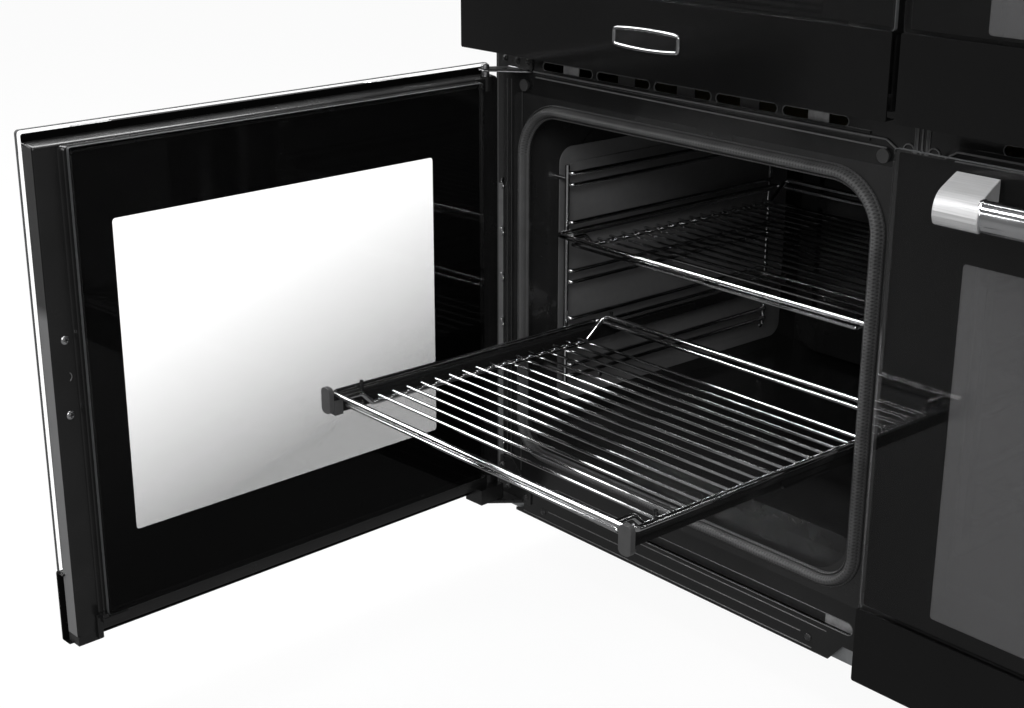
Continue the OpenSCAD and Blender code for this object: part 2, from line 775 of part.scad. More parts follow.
// Wire rack, its front wire on Y 0 and its middle on X 0
module rack() {
    half = rack_w/2 - rack_wire/2;
    low = -rack_dip - rack_thin/2 - rack_wire/2 + 0.5;
    rear = rack_depth;
    loop = [[0, 0, 0], [half, 0, 0], [half, rear, 0], [-half, rear, 0], [-half, 0, 0], [0, 0, 0]];
    bent_wire(loop, rack_corner, rack_wire);
    // inner wire: dips under the cross wires and rises to a raised rim at the back
    riser = rear - 4;
    bent_wire([[-rack_inner, 0, 0], [-rack_inner, 32, 0], [-rack_inner, 32, low], [-rack_inner, riser, low],
        [-rack_inner, riser, rack_rim], [rack_inner, riser, rack_rim], [rack_inner, riser, low],
        [rack_inner, 32, low], [rack_inner, 32, 0], [rack_inner, 0, 0]], 4, rack_wire);
    // second front wire, its ends turned up into the inner wire
    bent_wire([[-rack_inner, 12, -2], [-rack_inner, 12, -6.6], [-rack_inner, 2, -6.6],
        [rack_inner, 2, -6.6], [rack_inner, 12, -6.6], [rack_inner, 12, -2]], 2.2, 3.4);
    for (i = [0:rack_bars - 1])
        wire([-rack_inner - 2, rack_bar_start + i*rack_bar_pitch, -rack_dip],
            [rack_inner + 2, rack_bar_start + i*rack_bar_pitch, -rack_dip], rack_thin);
}

module shelf(c, level, out) {
    color("#d3d5d8") in_column(c)
        translate([cavity_mid, rack_home_y - out, rung_first + level*rung_pitch + rack_lift]) rack();
}

module rack_lower() { shelf(0, runner_level, rack_out); }
module rack_upper() { shelf(0, 3, 0); }
module rack_right_low() { shelf(1, 1, 0); }
module rack_right_high() { shelf(1, 3, 0); }

// Turns a closed left oven door open about its hinge pins
module swung() {
    translate([pivot_u, pivot_y, 0]) rotate(-door_open) translate([-pivot_u, -pivot_y, 0]) children();
}

// Enamelled oven door pan, open to the front, with hinge bosses at its outer side
module oven_door_pan() {
    w = panel_w - 2*pan_inset;
    front = strip_t + 0.1;
    strip_top = oven_door_z + strip_h;
    boss = hinge_pin_d + 7;
    color("#171718") difference() {
        union() {
            difference() {
                union() {
                    translate([pan_inset, front, pan_z]) cube([w, pan_back - front, pan_top - pan_z]);
                    translate([pan_inset, glass_back, strip_top + 0.5])
                        cube([w, strip_t, pan_top - strip_top - 0.5]);
                }
                translate([pan_inset + sheet, 0, pan_z + sheet])
                    cube([w - 2*sheet, pan_back - sheet, pan_top - pan_z - 2*sheet]);
                translate([inner_u, 0, inner_z]) cube([inner_w, pan_back + 5, inner_h]);
            }
            for (z = [pan_z, pan_top - 14])
                translate([pivot_u, pivot_y, z]) cylinder(h = 14, d = boss);
        }
        for (z = [pan_z - 1, pan_top - 15])
            translate([pivot_u, pivot_y, z]) cylinder(h = 16, d = hinge_pin_d + 2*run_fit);
    }
}

module oven_outer_glass() {
    color("#0d0d0e") translate([0, glass_setback, oven_door_z + strip_h])
        stand(glass_t) rounded(panel_w, oven_door_h - strip_h, 1.5);
}

module oven_inner_glass() {
    color("#101011") translate([inner_u, inner_face - glass_t, inner_z])
        stand(glass_t) square([inner_w, inner_h]);
}

// Trim channel along the foot of a door
module strip(z) {
    color("#1a1a1b") translate([0, 0, z]) difference() {
        translate([0, 0, 0]) stand(strip_t) rounded(panel_w, strip_h, 2);
        translate([-1, sheet, sheet]) cube([panel_w + 2, strip_t, strip_h - 2*sheet]);
    }
}

// Two end blocks with round noses and a bar between them
module bar_handle(z) {
    far = panel_w - handle_inset - handle_block_w;
    for (u = [handle_inset, far])
        color("#c4c6c9") translate([u, 0, z]) rotate([90, 0, 90]) linear_extrude(handle_block_w) {
            translate([-handle_out, -handle_block_h/2])
                square([handle_out + glass_setback, handle_block_h]);
            translate([-handle_out, 0]) circle(d = handle_block_h);
        }
    color("#dfe1e4") translate([handle_inset + handle_block_w - 6, -handle_out, z]) rotate([0, 90, 0])
        cylinder(h = far - handle_inset - handle_block_w + 12, d = handle_bar_d);
}

module left_door_frame() { in_column(0) swung() oven_door_pan(); }
module left_door_outer_glass() { in_column(0) swung() oven_outer_glass(); }
module left_door_inner_glass() { in_column(0) swung() oven_inner_glass(); }
module left_door_strip() { in_column(0) swung() strip(oven_door_z); }
module left_door_handle() { in_column(0) swung() bar_handle(handle_z); }
module right_door_frame() { in_column(1) oven_door_pan(); }
module right_door_outer_glass() { in_column(1) oven_outer_glass(); }
module right_door_inner_glass() { in_column(1) oven_inner_glass(); }
module right_door_strip() { in_column(1) strip(oven_door_z); }
module right_door_handle() { in_column(1) bar_handle(handle_z); }

// Grill door pan with slots for the hinge arms and bosses for their pins
module grill_pan() {
    w = panel_w - 2*pan_inset;
    front = strip_t + 0.1;
    strip_top = grill_door_z + strip_h;
    arm_slot = arm_t + 6;
    color("#171718") difference() {
        union() {
            difference() {
                union() {
                    translate([pan_inset, front, grill_pan_z])
                        cube([w, pan_back - front, grill_pan_top - grill_pan_z]);
                    translate([pan_inset, glass_back, strip_top + 0.5])
                        cube([w, strip_t, grill_pan_top - strip_top - 0.5]);
                }
                translate([pan_inset + sheet, 0, grill_pan_z + sheet])
                    cube([w - 2*sheet, pan_back - sheet, grill_pan_top - grill_pan_z - 2*sheet]);
                translate([mouth_u + 25, 0, grill_mouth_z + 16])
                    cube([mouth_w - 50, pan_back + 5, grill_mouth_h - 30]);
                for (u = [grill_arm_u - 3, panel_w - grill_arm_u - arm_t - 3])
                    translate([u, pivot_y - 7.5, grill_pan_z - 1]) cube([arm_slot, 30, 26]);
            }
            for (u = [pan_inset, panel_w - grill_arm_u + 0.5])
                translate([u, pivot_y, grill_pivot_z]) rotate([0, 90, 0])
                    cylinder(h = grill_arm_u - pan_inset - 0.5, d = 12.4);
        }
        for (u = [grill_arm_u - grill_boss_w, panel_w - grill_arm_u - 0.5])
            translate([u, pivot_y, grill_pivot_z]) rotate([0, 90, 0])
                cylinder(h = grill_boss_w + 0.5, d = hinge_pin_d + 2*run_fit);
    }
}

module grill_panes() {
    color("#0d0d0e") {
        translate([0, glass_setback, grill_door_z + strip_h])
            stand(glass_t) rounded(panel_w, grill_door_h - strip_h, 1.5);
        translate([mouth_u + 25, inner_face - glass_t, grill_mouth_z + 16])
            stand(glass_t) square([mouth_w - 50, grill_mouth_h - 30]);
    }
}

module grill_door_left_frame() { in_column(0) grill_pan(); }
module grill_door_left_glass() { in_column(0) grill_panes(); }
module grill_door_left_strip() { in_column(0) strip(grill_door_z); }
module grill_door_left_handle() { in_column(0) bar_handle(grill_handle_z); }
module grill_door_right_frame() { in_column(1) grill_pan(); }
module grill_door_right_glass() { in_column(1) grill_panes(); }
module grill_door_right_strip() { in_column(1) strip(grill_door_z); }
module grill_door_right_handle() { in_column(1) bar_handle(grill_handle_z); }

base_frame();
feet();
side_panels();
back_panel();
front_frame();
oven_liner_left();
oven_liner_right();
grill_liners();
door_seals();
door_bumpers();
shelf_supports();
fan_covers();
fan_motors();
oven_elements();
oven_lamps();
insulation();
control_panel();
rotary_switches();
clock_display();
hob_frame();
hob_glass();
hob_elements();
terminal_box();
hinge_plates();
runner_outer();
runner_middle();
runner_inner();
runner_caps();
rack_lower();
rack_upper();
rack_right_low();
rack_right_high();
fan_left();
fan_right();
knob_1();
knob_2();
knob_3();
knob_4();
knob_5();
knob_6();
knob_7();
knob_8();
left_door_frame();
left_door_outer_glass();
left_door_inner_glass();
left_door_strip();
left_door_handle();
right_door_frame();
right_door_outer_glass();
right_door_inner_glass();
right_door_strip();
right_door_handle();
grill_door_left_frame();
grill_door_left_glass();
grill_door_left_strip();
grill_door_left_handle();
grill_door_right_frame();
grill_door_right_glass();
grill_door_right_strip();
grill_door_right_handle();
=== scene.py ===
import json
import math

import bmesh
import bpy
import numpy as np
from mathutils import Matrix, Vector

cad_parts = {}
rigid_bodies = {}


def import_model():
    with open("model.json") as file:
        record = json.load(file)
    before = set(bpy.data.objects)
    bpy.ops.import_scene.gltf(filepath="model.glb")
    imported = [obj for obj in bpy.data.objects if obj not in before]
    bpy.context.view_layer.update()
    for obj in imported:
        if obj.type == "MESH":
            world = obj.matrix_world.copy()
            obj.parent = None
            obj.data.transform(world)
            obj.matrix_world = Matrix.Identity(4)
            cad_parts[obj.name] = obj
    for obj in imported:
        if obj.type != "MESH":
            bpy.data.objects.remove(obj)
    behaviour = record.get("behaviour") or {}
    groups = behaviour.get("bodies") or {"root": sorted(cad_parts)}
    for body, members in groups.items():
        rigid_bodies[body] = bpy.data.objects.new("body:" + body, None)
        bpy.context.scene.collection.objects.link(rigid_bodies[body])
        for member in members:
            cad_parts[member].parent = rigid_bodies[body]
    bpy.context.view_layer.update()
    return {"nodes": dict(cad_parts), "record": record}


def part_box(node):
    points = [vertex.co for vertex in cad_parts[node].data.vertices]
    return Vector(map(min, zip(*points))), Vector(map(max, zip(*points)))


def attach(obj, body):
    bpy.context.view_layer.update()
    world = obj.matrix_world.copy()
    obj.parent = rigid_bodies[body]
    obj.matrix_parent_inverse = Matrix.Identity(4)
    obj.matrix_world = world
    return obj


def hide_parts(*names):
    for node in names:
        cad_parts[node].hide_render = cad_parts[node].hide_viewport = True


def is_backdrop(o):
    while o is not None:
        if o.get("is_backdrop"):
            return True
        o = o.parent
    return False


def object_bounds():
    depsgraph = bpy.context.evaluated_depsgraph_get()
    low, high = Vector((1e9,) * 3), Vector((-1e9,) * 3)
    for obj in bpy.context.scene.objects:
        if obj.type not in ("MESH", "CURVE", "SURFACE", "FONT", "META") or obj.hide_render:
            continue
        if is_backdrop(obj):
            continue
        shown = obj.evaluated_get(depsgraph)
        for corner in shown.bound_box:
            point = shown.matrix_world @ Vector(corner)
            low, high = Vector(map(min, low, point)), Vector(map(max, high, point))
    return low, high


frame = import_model()
nodes = frame["nodes"]
mm = 0.001
print("frame loaded,", len(nodes), "nodes")

# The column drawings: u inward from a column's outer side, y back from the closed doors' faces,
# z up from the floor, all in millimetres. Column 0 is the left one and column 1 its mirror image.
hobLow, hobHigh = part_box("hob_frame")
leftSide, rightSide, doorFace = hobLow.x / mm, hobHigh.x / mm, hobLow.y / mm
leftDoor = {"pivotU": 14.4, "pivotY": 17.7, "open": 87.5}


def inColumn(points, column=0, swung=False):
    # the swung left door's points turn about its hinge pins by the open angle, then shift to the frame
    p = np.array(points, float)
    if swung:
        a = math.radians(leftDoor["open"])
        du, dy = p[..., 0] - leftDoor["pivotU"], p[..., 1] - leftDoor["pivotY"]
        p[..., 0] = leftDoor["pivotU"] + du * math.cos(a) + dy * math.sin(a)
        p[..., 1] = leftDoor["pivotY"] - du * math.sin(a) + dy * math.cos(a)
    x = leftSide + p[..., 0] if column == 0 else rightSide - p[..., 0]
    return np.stack([x, p[..., 1] + doorFace, p[..., 2]], -1) * mm


def unit(v):
    return v / np.maximum(np.linalg.norm(v, axis=-1, keepdims=True), 1e-12)


# camera at the photograph's place, from the perspective of the doors and the rack
viewpoint = {"place": (0.74398, -1.05371, 0.76520), "turn": 49.11, "dip": 19.04, "roll": 0.09,
             "lens": 57.416}


def makeCamera(s):
    # forward = (-sin turn cos dip, cos turn cos dip, -sin dip), with right and up squared to it
    turn, dip, roll = (math.radians(s[k]) for k in ("turn", "dip", "roll"))
    forward = np.array([-math.sin(turn) * math.cos(dip), math.cos(turn) * math.cos(dip), -math.sin(dip)])
    right = np.array([math.cos(turn), math.sin(turn), 0.0])
    up = np.cross(right, forward)
    side = right * math.cos(roll) + up * math.sin(roll)
    top = up * math.cos(roll) - right * math.sin(roll)
    data = bpy.data.cameras.new("camera")
    data.lens = s["lens"]
    data.sensor_width = 36.0
    data.clip_start, data.clip_end = 0.05, 60.0
    cam = bpy.data.objects.new("camera", data)
    cam.matrix_world = Matrix.Translation(s["place"]) @ Matrix(np.stack([side, top, -forward],
                                                                        1).tolist()).to_4x4()
    bpy.context.scene.collection.objects.link(cam)
    bpy.context.scene.camera = cam


makeCamera(viewpoint)
bpy.context.scene.view_settings.view_transform = "Standard"
print("camera placed")


# shader groups


def newGroup(name, inputs, outputs):
    group = bpy.data.node_groups.new(name, "ShaderNodeTree")
    for label, kind, value in inputs:
        socket = group.interface.new_socket(label, in_out="INPUT", socket_type=kind)
        socket.default_value = value
    for label, kind in outputs:
        group.interface.new_socket(label, in_out="OUTPUT", socket_type=kind)
    return group, group.nodes.new("NodeGroupInput"), group.nodes.new("NodeGroupOutput")


def addNode(tree, kind, settings=None, **sockets):
    node = tree.nodes.new(kind)
    for key, value in (settings or {}).items():
        setattr(node, key, value)
    for key, value in sockets.items():
        numbered = key[0] == "i" and key[1:].isdigit()
        socket = node.inputs[int(key[1:]) if numbered else key.replace("_", " ")]
        if isinstance(value, bpy.types.NodeSocket):
            tree.links.new(value, socket)
        else:
            socket.default_value = value
    return node


def maths(tree, operation, *values, clamp=False):
    # output of a maths node fed with sockets or numbers
    sockets = {f"i{i}": value for i, value in enumerate(values)}
    return addNode(tree, "ShaderNodeMath", {"operation": operation, "use_clamp": clamp},
                   **sockets).outputs[0]


def mottleGroup():
    # noise on Object coordinates, stretched by a vector: a wide mask, a fine height and rare specks
    group, enter, leave = newGroup("mottle", [
        ("Scale", "NodeSocketFloat", 40.0), ("Stretch", "NodeSocketVector", (1.0, 1.0, 1.0)),
        ("Contrast", "NodeSocketFloat", 1.0), ("Specks", "NodeSocketFloat", 0.06)], [
        ("Mask", "NodeSocketFloat"), ("Height", "NodeSocketFloat"), ("Speck", "NodeSocketFloat")])
    coords = addNode(group, "ShaderNodeTexCoord")
    stretched = addNode(group, "ShaderNodeVectorMath", {"operation": "MULTIPLY"},
                        i0=coords.outputs["Object"], i1=enter.outputs["Stretch"])
    wide = addNode(group, "ShaderNodeTexNoise", Vector=stretched.outputs[0], Scale=enter.outputs["Scale"],
                   Detail=5.0, Roughness=0.55)
    spread = maths(group, "SUBTRACT", wide.outputs[0], 0.5)
    mask = maths(group, "ADD", maths(group, "MULTIPLY", spread, enter.outputs["Contrast"]), 0.5, clamp=True)
    fineScale = maths(group, "MULTIPLY", enter.outputs["Scale"], 7.0)
    fine = addNode(group, "ShaderNodeTexNoise", Vector=stretched.outputs[0], Scale=fineScale, Detail=2.0)
    dots = addNode(group, "ShaderNodeTexVoronoi", Vector=coords.outputs["Object"], Scale=260.0)
    near = maths(group, "LESS_THAN", dots.outputs["Distance"], enter.outputs["Specks"])
    group.links.new(mask, leave.inputs["Mask"])
    group.links.new(fine.outputs[0], leave.inputs["Height"])
    group.links.new(near, leave.inputs["Speck"])
    return group


def braidGroup():
    # two families of slanted strands on the piece's own UV map, over and under each other
    group, enter, leave = newGroup("braid", [
        ("Along", "NodeSocketFloat", 420.0), ("Across", "NodeSocketFloat", 9.0)], [
        ("Mask", "NodeSocketFloat"), ("Height", "NodeSocketFloat")])
    uv = addNode(group, "ShaderNodeUVMap")
    split = addNode(group, "ShaderNodeSeparateXYZ", Vector=uv.outputs[0])
    along = maths(group, "MULTIPLY", split.outputs[0], enter.outputs["Along"])
    across = maths(group, "MULTIPLY", split.outputs[1], enter.outputs["Across"])
    waves = []
    for operation in ("ADD", "SUBTRACT"):
        turn = maths(group, "MULTIPLY", maths(group, operation, along, across), 2 * math.pi)
        waves.append(maths(group, "SINE", turn))
    half = maths(group, "MULTIPLY_ADD", maths(group, "MAXIMUM", *waves), 0.5, 0.5)
    group.links.new(half, leave.inputs["Mask"])
    group.links.new(half, leave.inputs["Height"])
    return group


mottle = mottleGroup()
braid = braidGroup()


def newMaterial(name):
    material = bpy.data.materials.new(name)
    material.use_nodes = True
    tree = material.node_tree
    return material, tree, tree.nodes["Principled BSDF"]


def blendOf(tree, factor, low, high):
    # low where the factor is 0 and high where it is 1
    node = addNode(tree, "ShaderNodeMix", {"data_type": "RGBA"})
    tree.links.new(factor, node.inputs["Factor"])
    for socket, value in ((node.inputs[6], low), (node.inputs[7], high)):
        if isinstance(value, bpy.types.NodeSocket):
            tree.links.new(value, socket)
        else:
            socket.default_value = (*value, 1.0)
    return node.outputs[2]


def rangeOf(tree, factor, low=0.0, high=1.0, start=0.0, end=1.0):
    # low where the factor is at its start, high at its end
    return addNode(tree, "ShaderNodeMapRange", Value=factor, From_Min=start, From_Max=end, To_Min=low,
                   To_Max=high).outputs[0]


def heightFade(tree, low, high, lean=0.0):
    # 0 at the low height and 1 at the high one, on Object z plus lean times y
    coords = addNode(tree, "ShaderNodeTexCoord")
    split = addNode(tree, "ShaderNodeSeparateXYZ", Vector=coords.outputs["Object"])
    height = maths(tree, "MULTIPLY_ADD", split.outputs[1], lean, split.outputs[2])
    return rangeOf(tree, height, start=low, end=high)


def surface(name, s):
    # two tones and two roughnesses blended by the mottle mask, rare lighter specks, and its height as relief
    material, tree, shader = newMaterial(name)
    marks = addNode(tree, "ShaderNodeGroup", {"node_tree": mottle}, Scale=s["scale"],
                    Stretch=s.get("stretch", (1.0, 1.0, 1.0)), Contrast=s.get("contrast", 1.6),
                    Specks=s.get("specks", 0.04))
    tone = blendOf(tree, marks.outputs["Mask"], s["dark"], s["light"])
    dusty = blendOf(tree, marks.outputs["Speck"], tone, s["dust"])
    tree.links.new(dusty, shader.inputs["Base Color"])
    tree.links.new(rangeOf(tree, marks.outputs["Mask"], *s["rough"]), shader.inputs["Roughness"])
    relief = addNode(tree, "ShaderNodeBump", Height=marks.outputs["Height"], Strength=s.get("relief", 0.1),
                     Distance=s.get("depth", 0.0002))
    tree.links.new(relief.outputs[0], shader.inputs["Normal"])
    for socket, value in s["plain"].items():
        shader.inputs[socket].default_value = value
    return material


def look(dark, light, scale, rough, relief, metal=0.0, shine=0.5, dust=None, **more):
    # one number stands for a grey with a little more blue; dust is the grey of the rare specks
    low, high = ((tone, tone, tone * 1.01) if isinstance(tone, float) else tone for tone in (dark, light))
    return {"dark": low, "light": high, "scale": scale, "rough": rough, "relief": relief,
            "plain": {"Metallic": metal, "Specular IOR Level": shine},
            "dust": (dust,) * 3 if dust else high, **more}


# each row: dark tone, light tone, scale of the mottle, roughness from and to, relief, and what else differs
finishes = {
    "black_panel": look(0.0035, 0.005, 9.0, (0.1, 0.15), 0.04, shine=0.42, dust=0.02),
    "strip_black": look(0.0035, 0.005, 9.0, (0.12, 0.18), 0.04, shine=0.26, dust=0.02),
    "cap_plastic": look(0.05, 0.07, 140.0, (0.32, 0.45), 0.3, shine=0.6),
    "steel_sheet": look(0.02, 0.03, 30.0, (0.42, 0.55), 0.35),
    "galvanised": look((0.33, 0.34, 0.35), (0.5, 0.51, 0.52), 55.0, (0.32, 0.5), 0.2, metal=0.85,
                       contrast=3.0),
    "front_enamel": look(0.008, 0.012, 24.0, (0.14, 0.24), 0.22, dust=0.06, depth=0.0003),
    "enamel": look(0.014, 0.021, 24.0, (0.16, 0.28), 0.25, dust=0.07, depth=0.0003, specks=0.05),
    "door_enamel": look(0.007, 0.011, 30.0, (0.2, 0.3), 0.25, dust=0.05, depth=0.0003),
    "bumper_rubber": look(0.02, 0.03, 120.0, (0.5, 0.65), 0.3),
    "foot_plastic": look(0.015, 0.022, 90.0, (0.45, 0.6), 0.3),
    "chrome_wire": look((0.5, 0.503, 0.51), (0.66, 0.663, 0.67), 60.0, (0.05, 0.12), 0.06, metal=1.0),
    "chrome_tube": look((0.62, 0.625, 0.64), (0.78, 0.785, 0.8), 60.0, (0.05, 0.13), 0.06, metal=1.0),
    "hinge_steel": look((0.34, 0.34, 0.35), (0.52, 0.52, 0.53), 110.0, (0.22, 0.36), 0.15, metal=1.0),
    "runner_black": look(0.008, 0.013, 30.0, (0.12, 0.2), 0.08, stretch=(1.0, 0.06, 1.0)),
    "runner_steel": look((0.2, 0.2, 0.21), (0.34, 0.34, 0.35), 80.0, (0.22, 0.34), 0.1, metal=1.0,
                         stretch=(1.0, 0.05, 1.0)),
    "fan_steel": look((0.42, 0.42, 0.43), (0.58, 0.58, 0.6), 90.0, (0.25, 0.4), 0.15, metal=1.0),
    "motor_steel": look((0.35, 0.35, 0.36), (0.5, 0.5, 0.51), 70.0, (0.3, 0.45), 0.2, metal=0.9),
    "element_sheath": look((0.035, 0.033, 0.031), (0.07, 0.064, 0.058), 60.0, (0.4, 0.6), 0.3, metal=0.5),
    "mineral_wool": look((0.42, 0.38, 0.24), (0.66, 0.6, 0.4), 160.0, (0.9, 1.0), 0.9, depth=0.002),
    "switch_body": look((0.68, 0.66, 0.6), (0.78, 0.76, 0.7), 90.0, (0.4, 0.5), 0.2),
    "display_glass": look(0.004, 0.006, 12.0, (0.06, 0.1), 0.02),
    "hob_glass": look(0.004, 0.006, 14.0, (0.05, 0.09), 0.02, shine=0.42, dust=0.03),
    "hob_trim": look(0.006, 0.01, 24.0, (0.16, 0.24), 0.08),
    "radiant": look((0.3, 0.2, 0.15), (0.46, 0.34, 0.27), 90.0, (0.8, 0.95), 0.5),
    "terminal_plastic": look(0.02, 0.03, 100.0, (0.42, 0.55), 0.3),
    "knob_metal": look((0.42, 0.42, 0.43), (0.6, 0.6, 0.61), 60.0, (0.2, 0.34), 0.15, metal=1.0,
                       stretch=(1.0, 0.08, 1.0)),
    "black_glass": look(0.0018, 0.003, 8.0, (0.015, 0.03), 0.01, dust=0.012, specks=0.03),
    "brushed_ends": look((0.42, 0.42, 0.424), (0.58, 0.58, 0.584), 30.0, (0.36, 0.46), 0.25, metal=0.2,
                         stretch=(0.6, 26.0, 26.0), contrast=2.2),
    "badge_ground": look(0.004, 0.007, 60.0, (0.2, 0.3), 0.2),
    # black print on the glass, and also the dark slots and screw crosses of the door pans, which are painted
    # shade
    "glass_print": look(0.002, 0.0035, 60.0, (0.5, 0.6), 0.05, shine=0.02),
    "ground_edge": look((0.05, 0.052, 0.053), (0.1, 0.102, 0.104), 200.0, (0.6, 0.75), 0.3, shine=0.15),
    "catalytic": look(0.105, 0.13, 130.0, (0.62, 0.75), 0.5, dust=0.1, depth=0.0003),
    # bright steel for real screws and pins, and for the stile's curls, which are painted highlights
    "steel_and_painted_glint": look((0.5, 0.5, 0.51), (0.72, 0.72, 0.73), 300.0, (0.16, 0.3), 0.2, metal=1.0),
    "black_screw": look(0.02, 0.035, 300.0, (0.2, 0.35), 0.2),
    # lighter grey for ridges, folds and rims on the black enamel: painted highlights
    "fold_edge": look(0.09, 0.13, 160.0, (0.3, 0.42), 0.2),
    # dimmer copy of that grey: painted light that is less bright, and painted shade beside a lit end
    "fold_dim": look(0.02, 0.03, 160.0, (0.3, 0.42), 0.2),
    "hinge_black": look(0.012, 0.018, 120.0, (0.24, 0.34), 0.2),
    # zinc for the ducts and the tray end that are painted lit; the bright tone is painted light
    "zinc_painted_lit": look((0.3, 0.3, 0.302), (0.6, 0.6, 0.605), 60.0, (0.35, 0.5), 0.2, metal=0.4,
                      contrast=3.0),
    "print_grey": look(0.2, 0.26, 200.0, (0.4, 0.5), 0.05),
}
materials = {name: surface(name, s) for name, s in finishes.items()}


def clearPane(name, s):
    # glass that lamps shine through: a Principled pane mixed with Transparent for shadow and diffuse rays
    material, tree, shader = newMaterial(name)
    # the base colour fades with height between the low and high tints; where they differ it is painted shade
    fade = heightFade(tree, *s["fade"], s["lean"])
    tree.links.new(blendOf(tree, fade, s["low"], s["high"]), shader.inputs["Base Color"])
    shader.inputs["Roughness"].default_value = 0.0
    shader.inputs["IOR"].default_value = s["ior"]
    shader.inputs["Transmission Weight"].default_value = 1.0
    rays = addNode(tree, "ShaderNodeLightPath")
    lit = maths(tree, "MAXIMUM", rays.outputs["Is Shadow Ray"], rays.outputs["Is Diffuse Ray"])
    through = addNode(tree, "ShaderNodeBsdfTransparent")
    mix = addNode(tree, "ShaderNodeMixShader", i0=lit, i1=shader.outputs[0], i2=through.outputs[0])
    tree.links.new(mix.outputs[0], tree.nodes["Material Output"].inputs[0])
    return material


def paintedHazePane(name, s):
    # mostly clear glass with a grey layer that veils what is behind it: a painted reflection, a haze of lit
    # grey standing in for the bright studio mirrored in the door glass
    material, tree, shader = newMaterial(name)
    marks = addNode(tree, "ShaderNodeGroup", {"node_tree": mottle}, Scale=s["scale"], Contrast=0.8)
    tree.links.new(blendOf(tree, marks.outputs["Mask"], s["dark"], s["light"]), shader.inputs["Base Color"])
    shader.inputs["Roughness"].default_value = 0.0
    shader.inputs["IOR"].default_value = 1.2
    shader.inputs["Transmission Weight"].default_value = s["clear"]
    return material


materials["painted_haze_pane"] = paintedHazePane("painted_haze_pane", {"scale": 3.0, "dark": (0.26, 0.26, 0.265),
                                                   "light": (0.3, 0.3, 0.305), "clear": 0.78})
materials["clear_pane"] = clearPane("clear_pane", {
    "fade": (0.0, 1.0), "lean": 0.0, "low": (0.98, 0.98, 0.98), "high": (0.99, 0.99, 0.99), "ior": 1.28})
# the open door's inner pane darkens towards the bottom: a painted reflection of the dark cavity
materials["painted_shade_pane"] = clearPane("painted_shade_pane", {
    "fade": (0.279, 0.475), "lean": -0.28, "low": (0.3, 0.3, 0.3), "high": (1.0, 1.0, 1.0), "ior": 1.2})


def braidedSeal(name, s):
    material, tree, shader = newMaterial(name)
    weave = addNode(tree, "ShaderNodeGroup", {"node_tree": braid}, Along=s["along"], Across=s["across"])
    marks = addNode(tree, "ShaderNodeGroup", {"node_tree": mottle}, Scale=50.0, Contrast=2.0)
    worn = blendOf(tree, marks.outputs["Mask"], s["dark"], s["light"])
    tree.links.new(blendOf(tree, weave.outputs["Mask"], s["gap"], worn), shader.inputs["Base Color"])
    tree.links.new(rangeOf(tree, marks.outputs["Mask"], 0.42, 0.6), shader.inputs["Roughness"])
    relief = addNode(tree, "ShaderNodeBump", Height=weave.outputs["Height"], Strength=0.5, Distance=0.0004)
    tree.links.new(relief.outputs[0], shader.inputs["Normal"])
    return material


def endWall(name, s):
    # two blends of the mottle mask, light below the fade's height and dark above it: painted light on the
    # lower part and painted shade on the upper part
    material, tree, shader = newMaterial(name)
    marks = addNode(tree, "ShaderNodeGroup", {"node_tree": mottle}, Scale=s["scale"], Contrast=1.2)
    low = blendOf(tree, marks.outputs["Mask"], *s["low"])
    high = blendOf(tree, marks.outputs["Mask"], *s["high"])
    tree.links.new(blendOf(tree, heightFade(tree, *s["fade"]), low, high), shader.inputs["Base Color"])
    tree.links.new(rangeOf(tree, marks.outputs["Mask"], 0.3, 0.4), shader.inputs["Roughness"])
    return material


materials["end_wall"] = endWall("end_wall", {
    "scale": 60.0, "fade": (0.366, 0.378), "low": ((0.15, 0.15, 0.152), (0.18, 0.18, 0.182)),
    "high": ((0.026, 0.026, 0.026), (0.034, 0.034, 0.034))})
materials["braided_seal"] = braidedSeal("braided_seal", {
    "along": 330.0, "across": 5.0, "gap": (0.02, 0.02, 0.02), "dark": (0.06, 0.06, 0.061),
    "light": (0.1, 0.1, 0.101)})
print("materials made:", len(materials))


def lampGlass(name, s):
    material, tree, shader = newMaterial(name)
    marks = addNode(tree, "ShaderNodeGroup", {"node_tree": mottle}, Scale=s["scale"], Contrast=1.5)
    tree.links.new(blendOf(tree, marks.outputs["Mask"], s["dark"], s["light"]), shader.inputs["Base Color"])
    relief = addNode(tree, "ShaderNodeBump", Height=marks.outputs["Height"], Strength=0.3, Distance=0.0003)
    tree.links.new(relief.outputs[0], shader.inputs["Normal"])
    shader.inputs["Roughness"].default_value = 0.12
    shader.inputs["Transmission Weight"].default_value = 0.9
    return material


materials["lamp_glass"] = lampGlass("lamp_glass", {"scale": 120.0, "dark": (0.72, 0.73, 0.72),
                                                   "light": (0.86, 0.87, 0.86)})
for name, node in nodes.items():
    slotName = next(p["material_slot"] for p in frame["record"]["subparts"] if p["node"] == name)
    finish = {"door_glass": "black_glass", "handle_metal": "brushed_ends"}.get(slotName, slotName)
    node.data.materials.clear()
    node.data.materials.append(materials[finish])
print("materials given to the nodes")


def grid(rows, columns, closeRows=False, closeColumns=False):
    # quads between neighbouring points of a grid, wrapping round where it closes
    i, j = np.meshgrid(np.arange(rows if closeRows else rows - 1),
                       np.arange(columns if closeColumns else columns - 1), indexing="ij")
    down, right = (i + 1) % rows, (j + 1) % columns
    return np.stack([i * columns + j, i * columns + right, down * columns + right, down * columns + j],
                    -1).reshape(-1, 4)


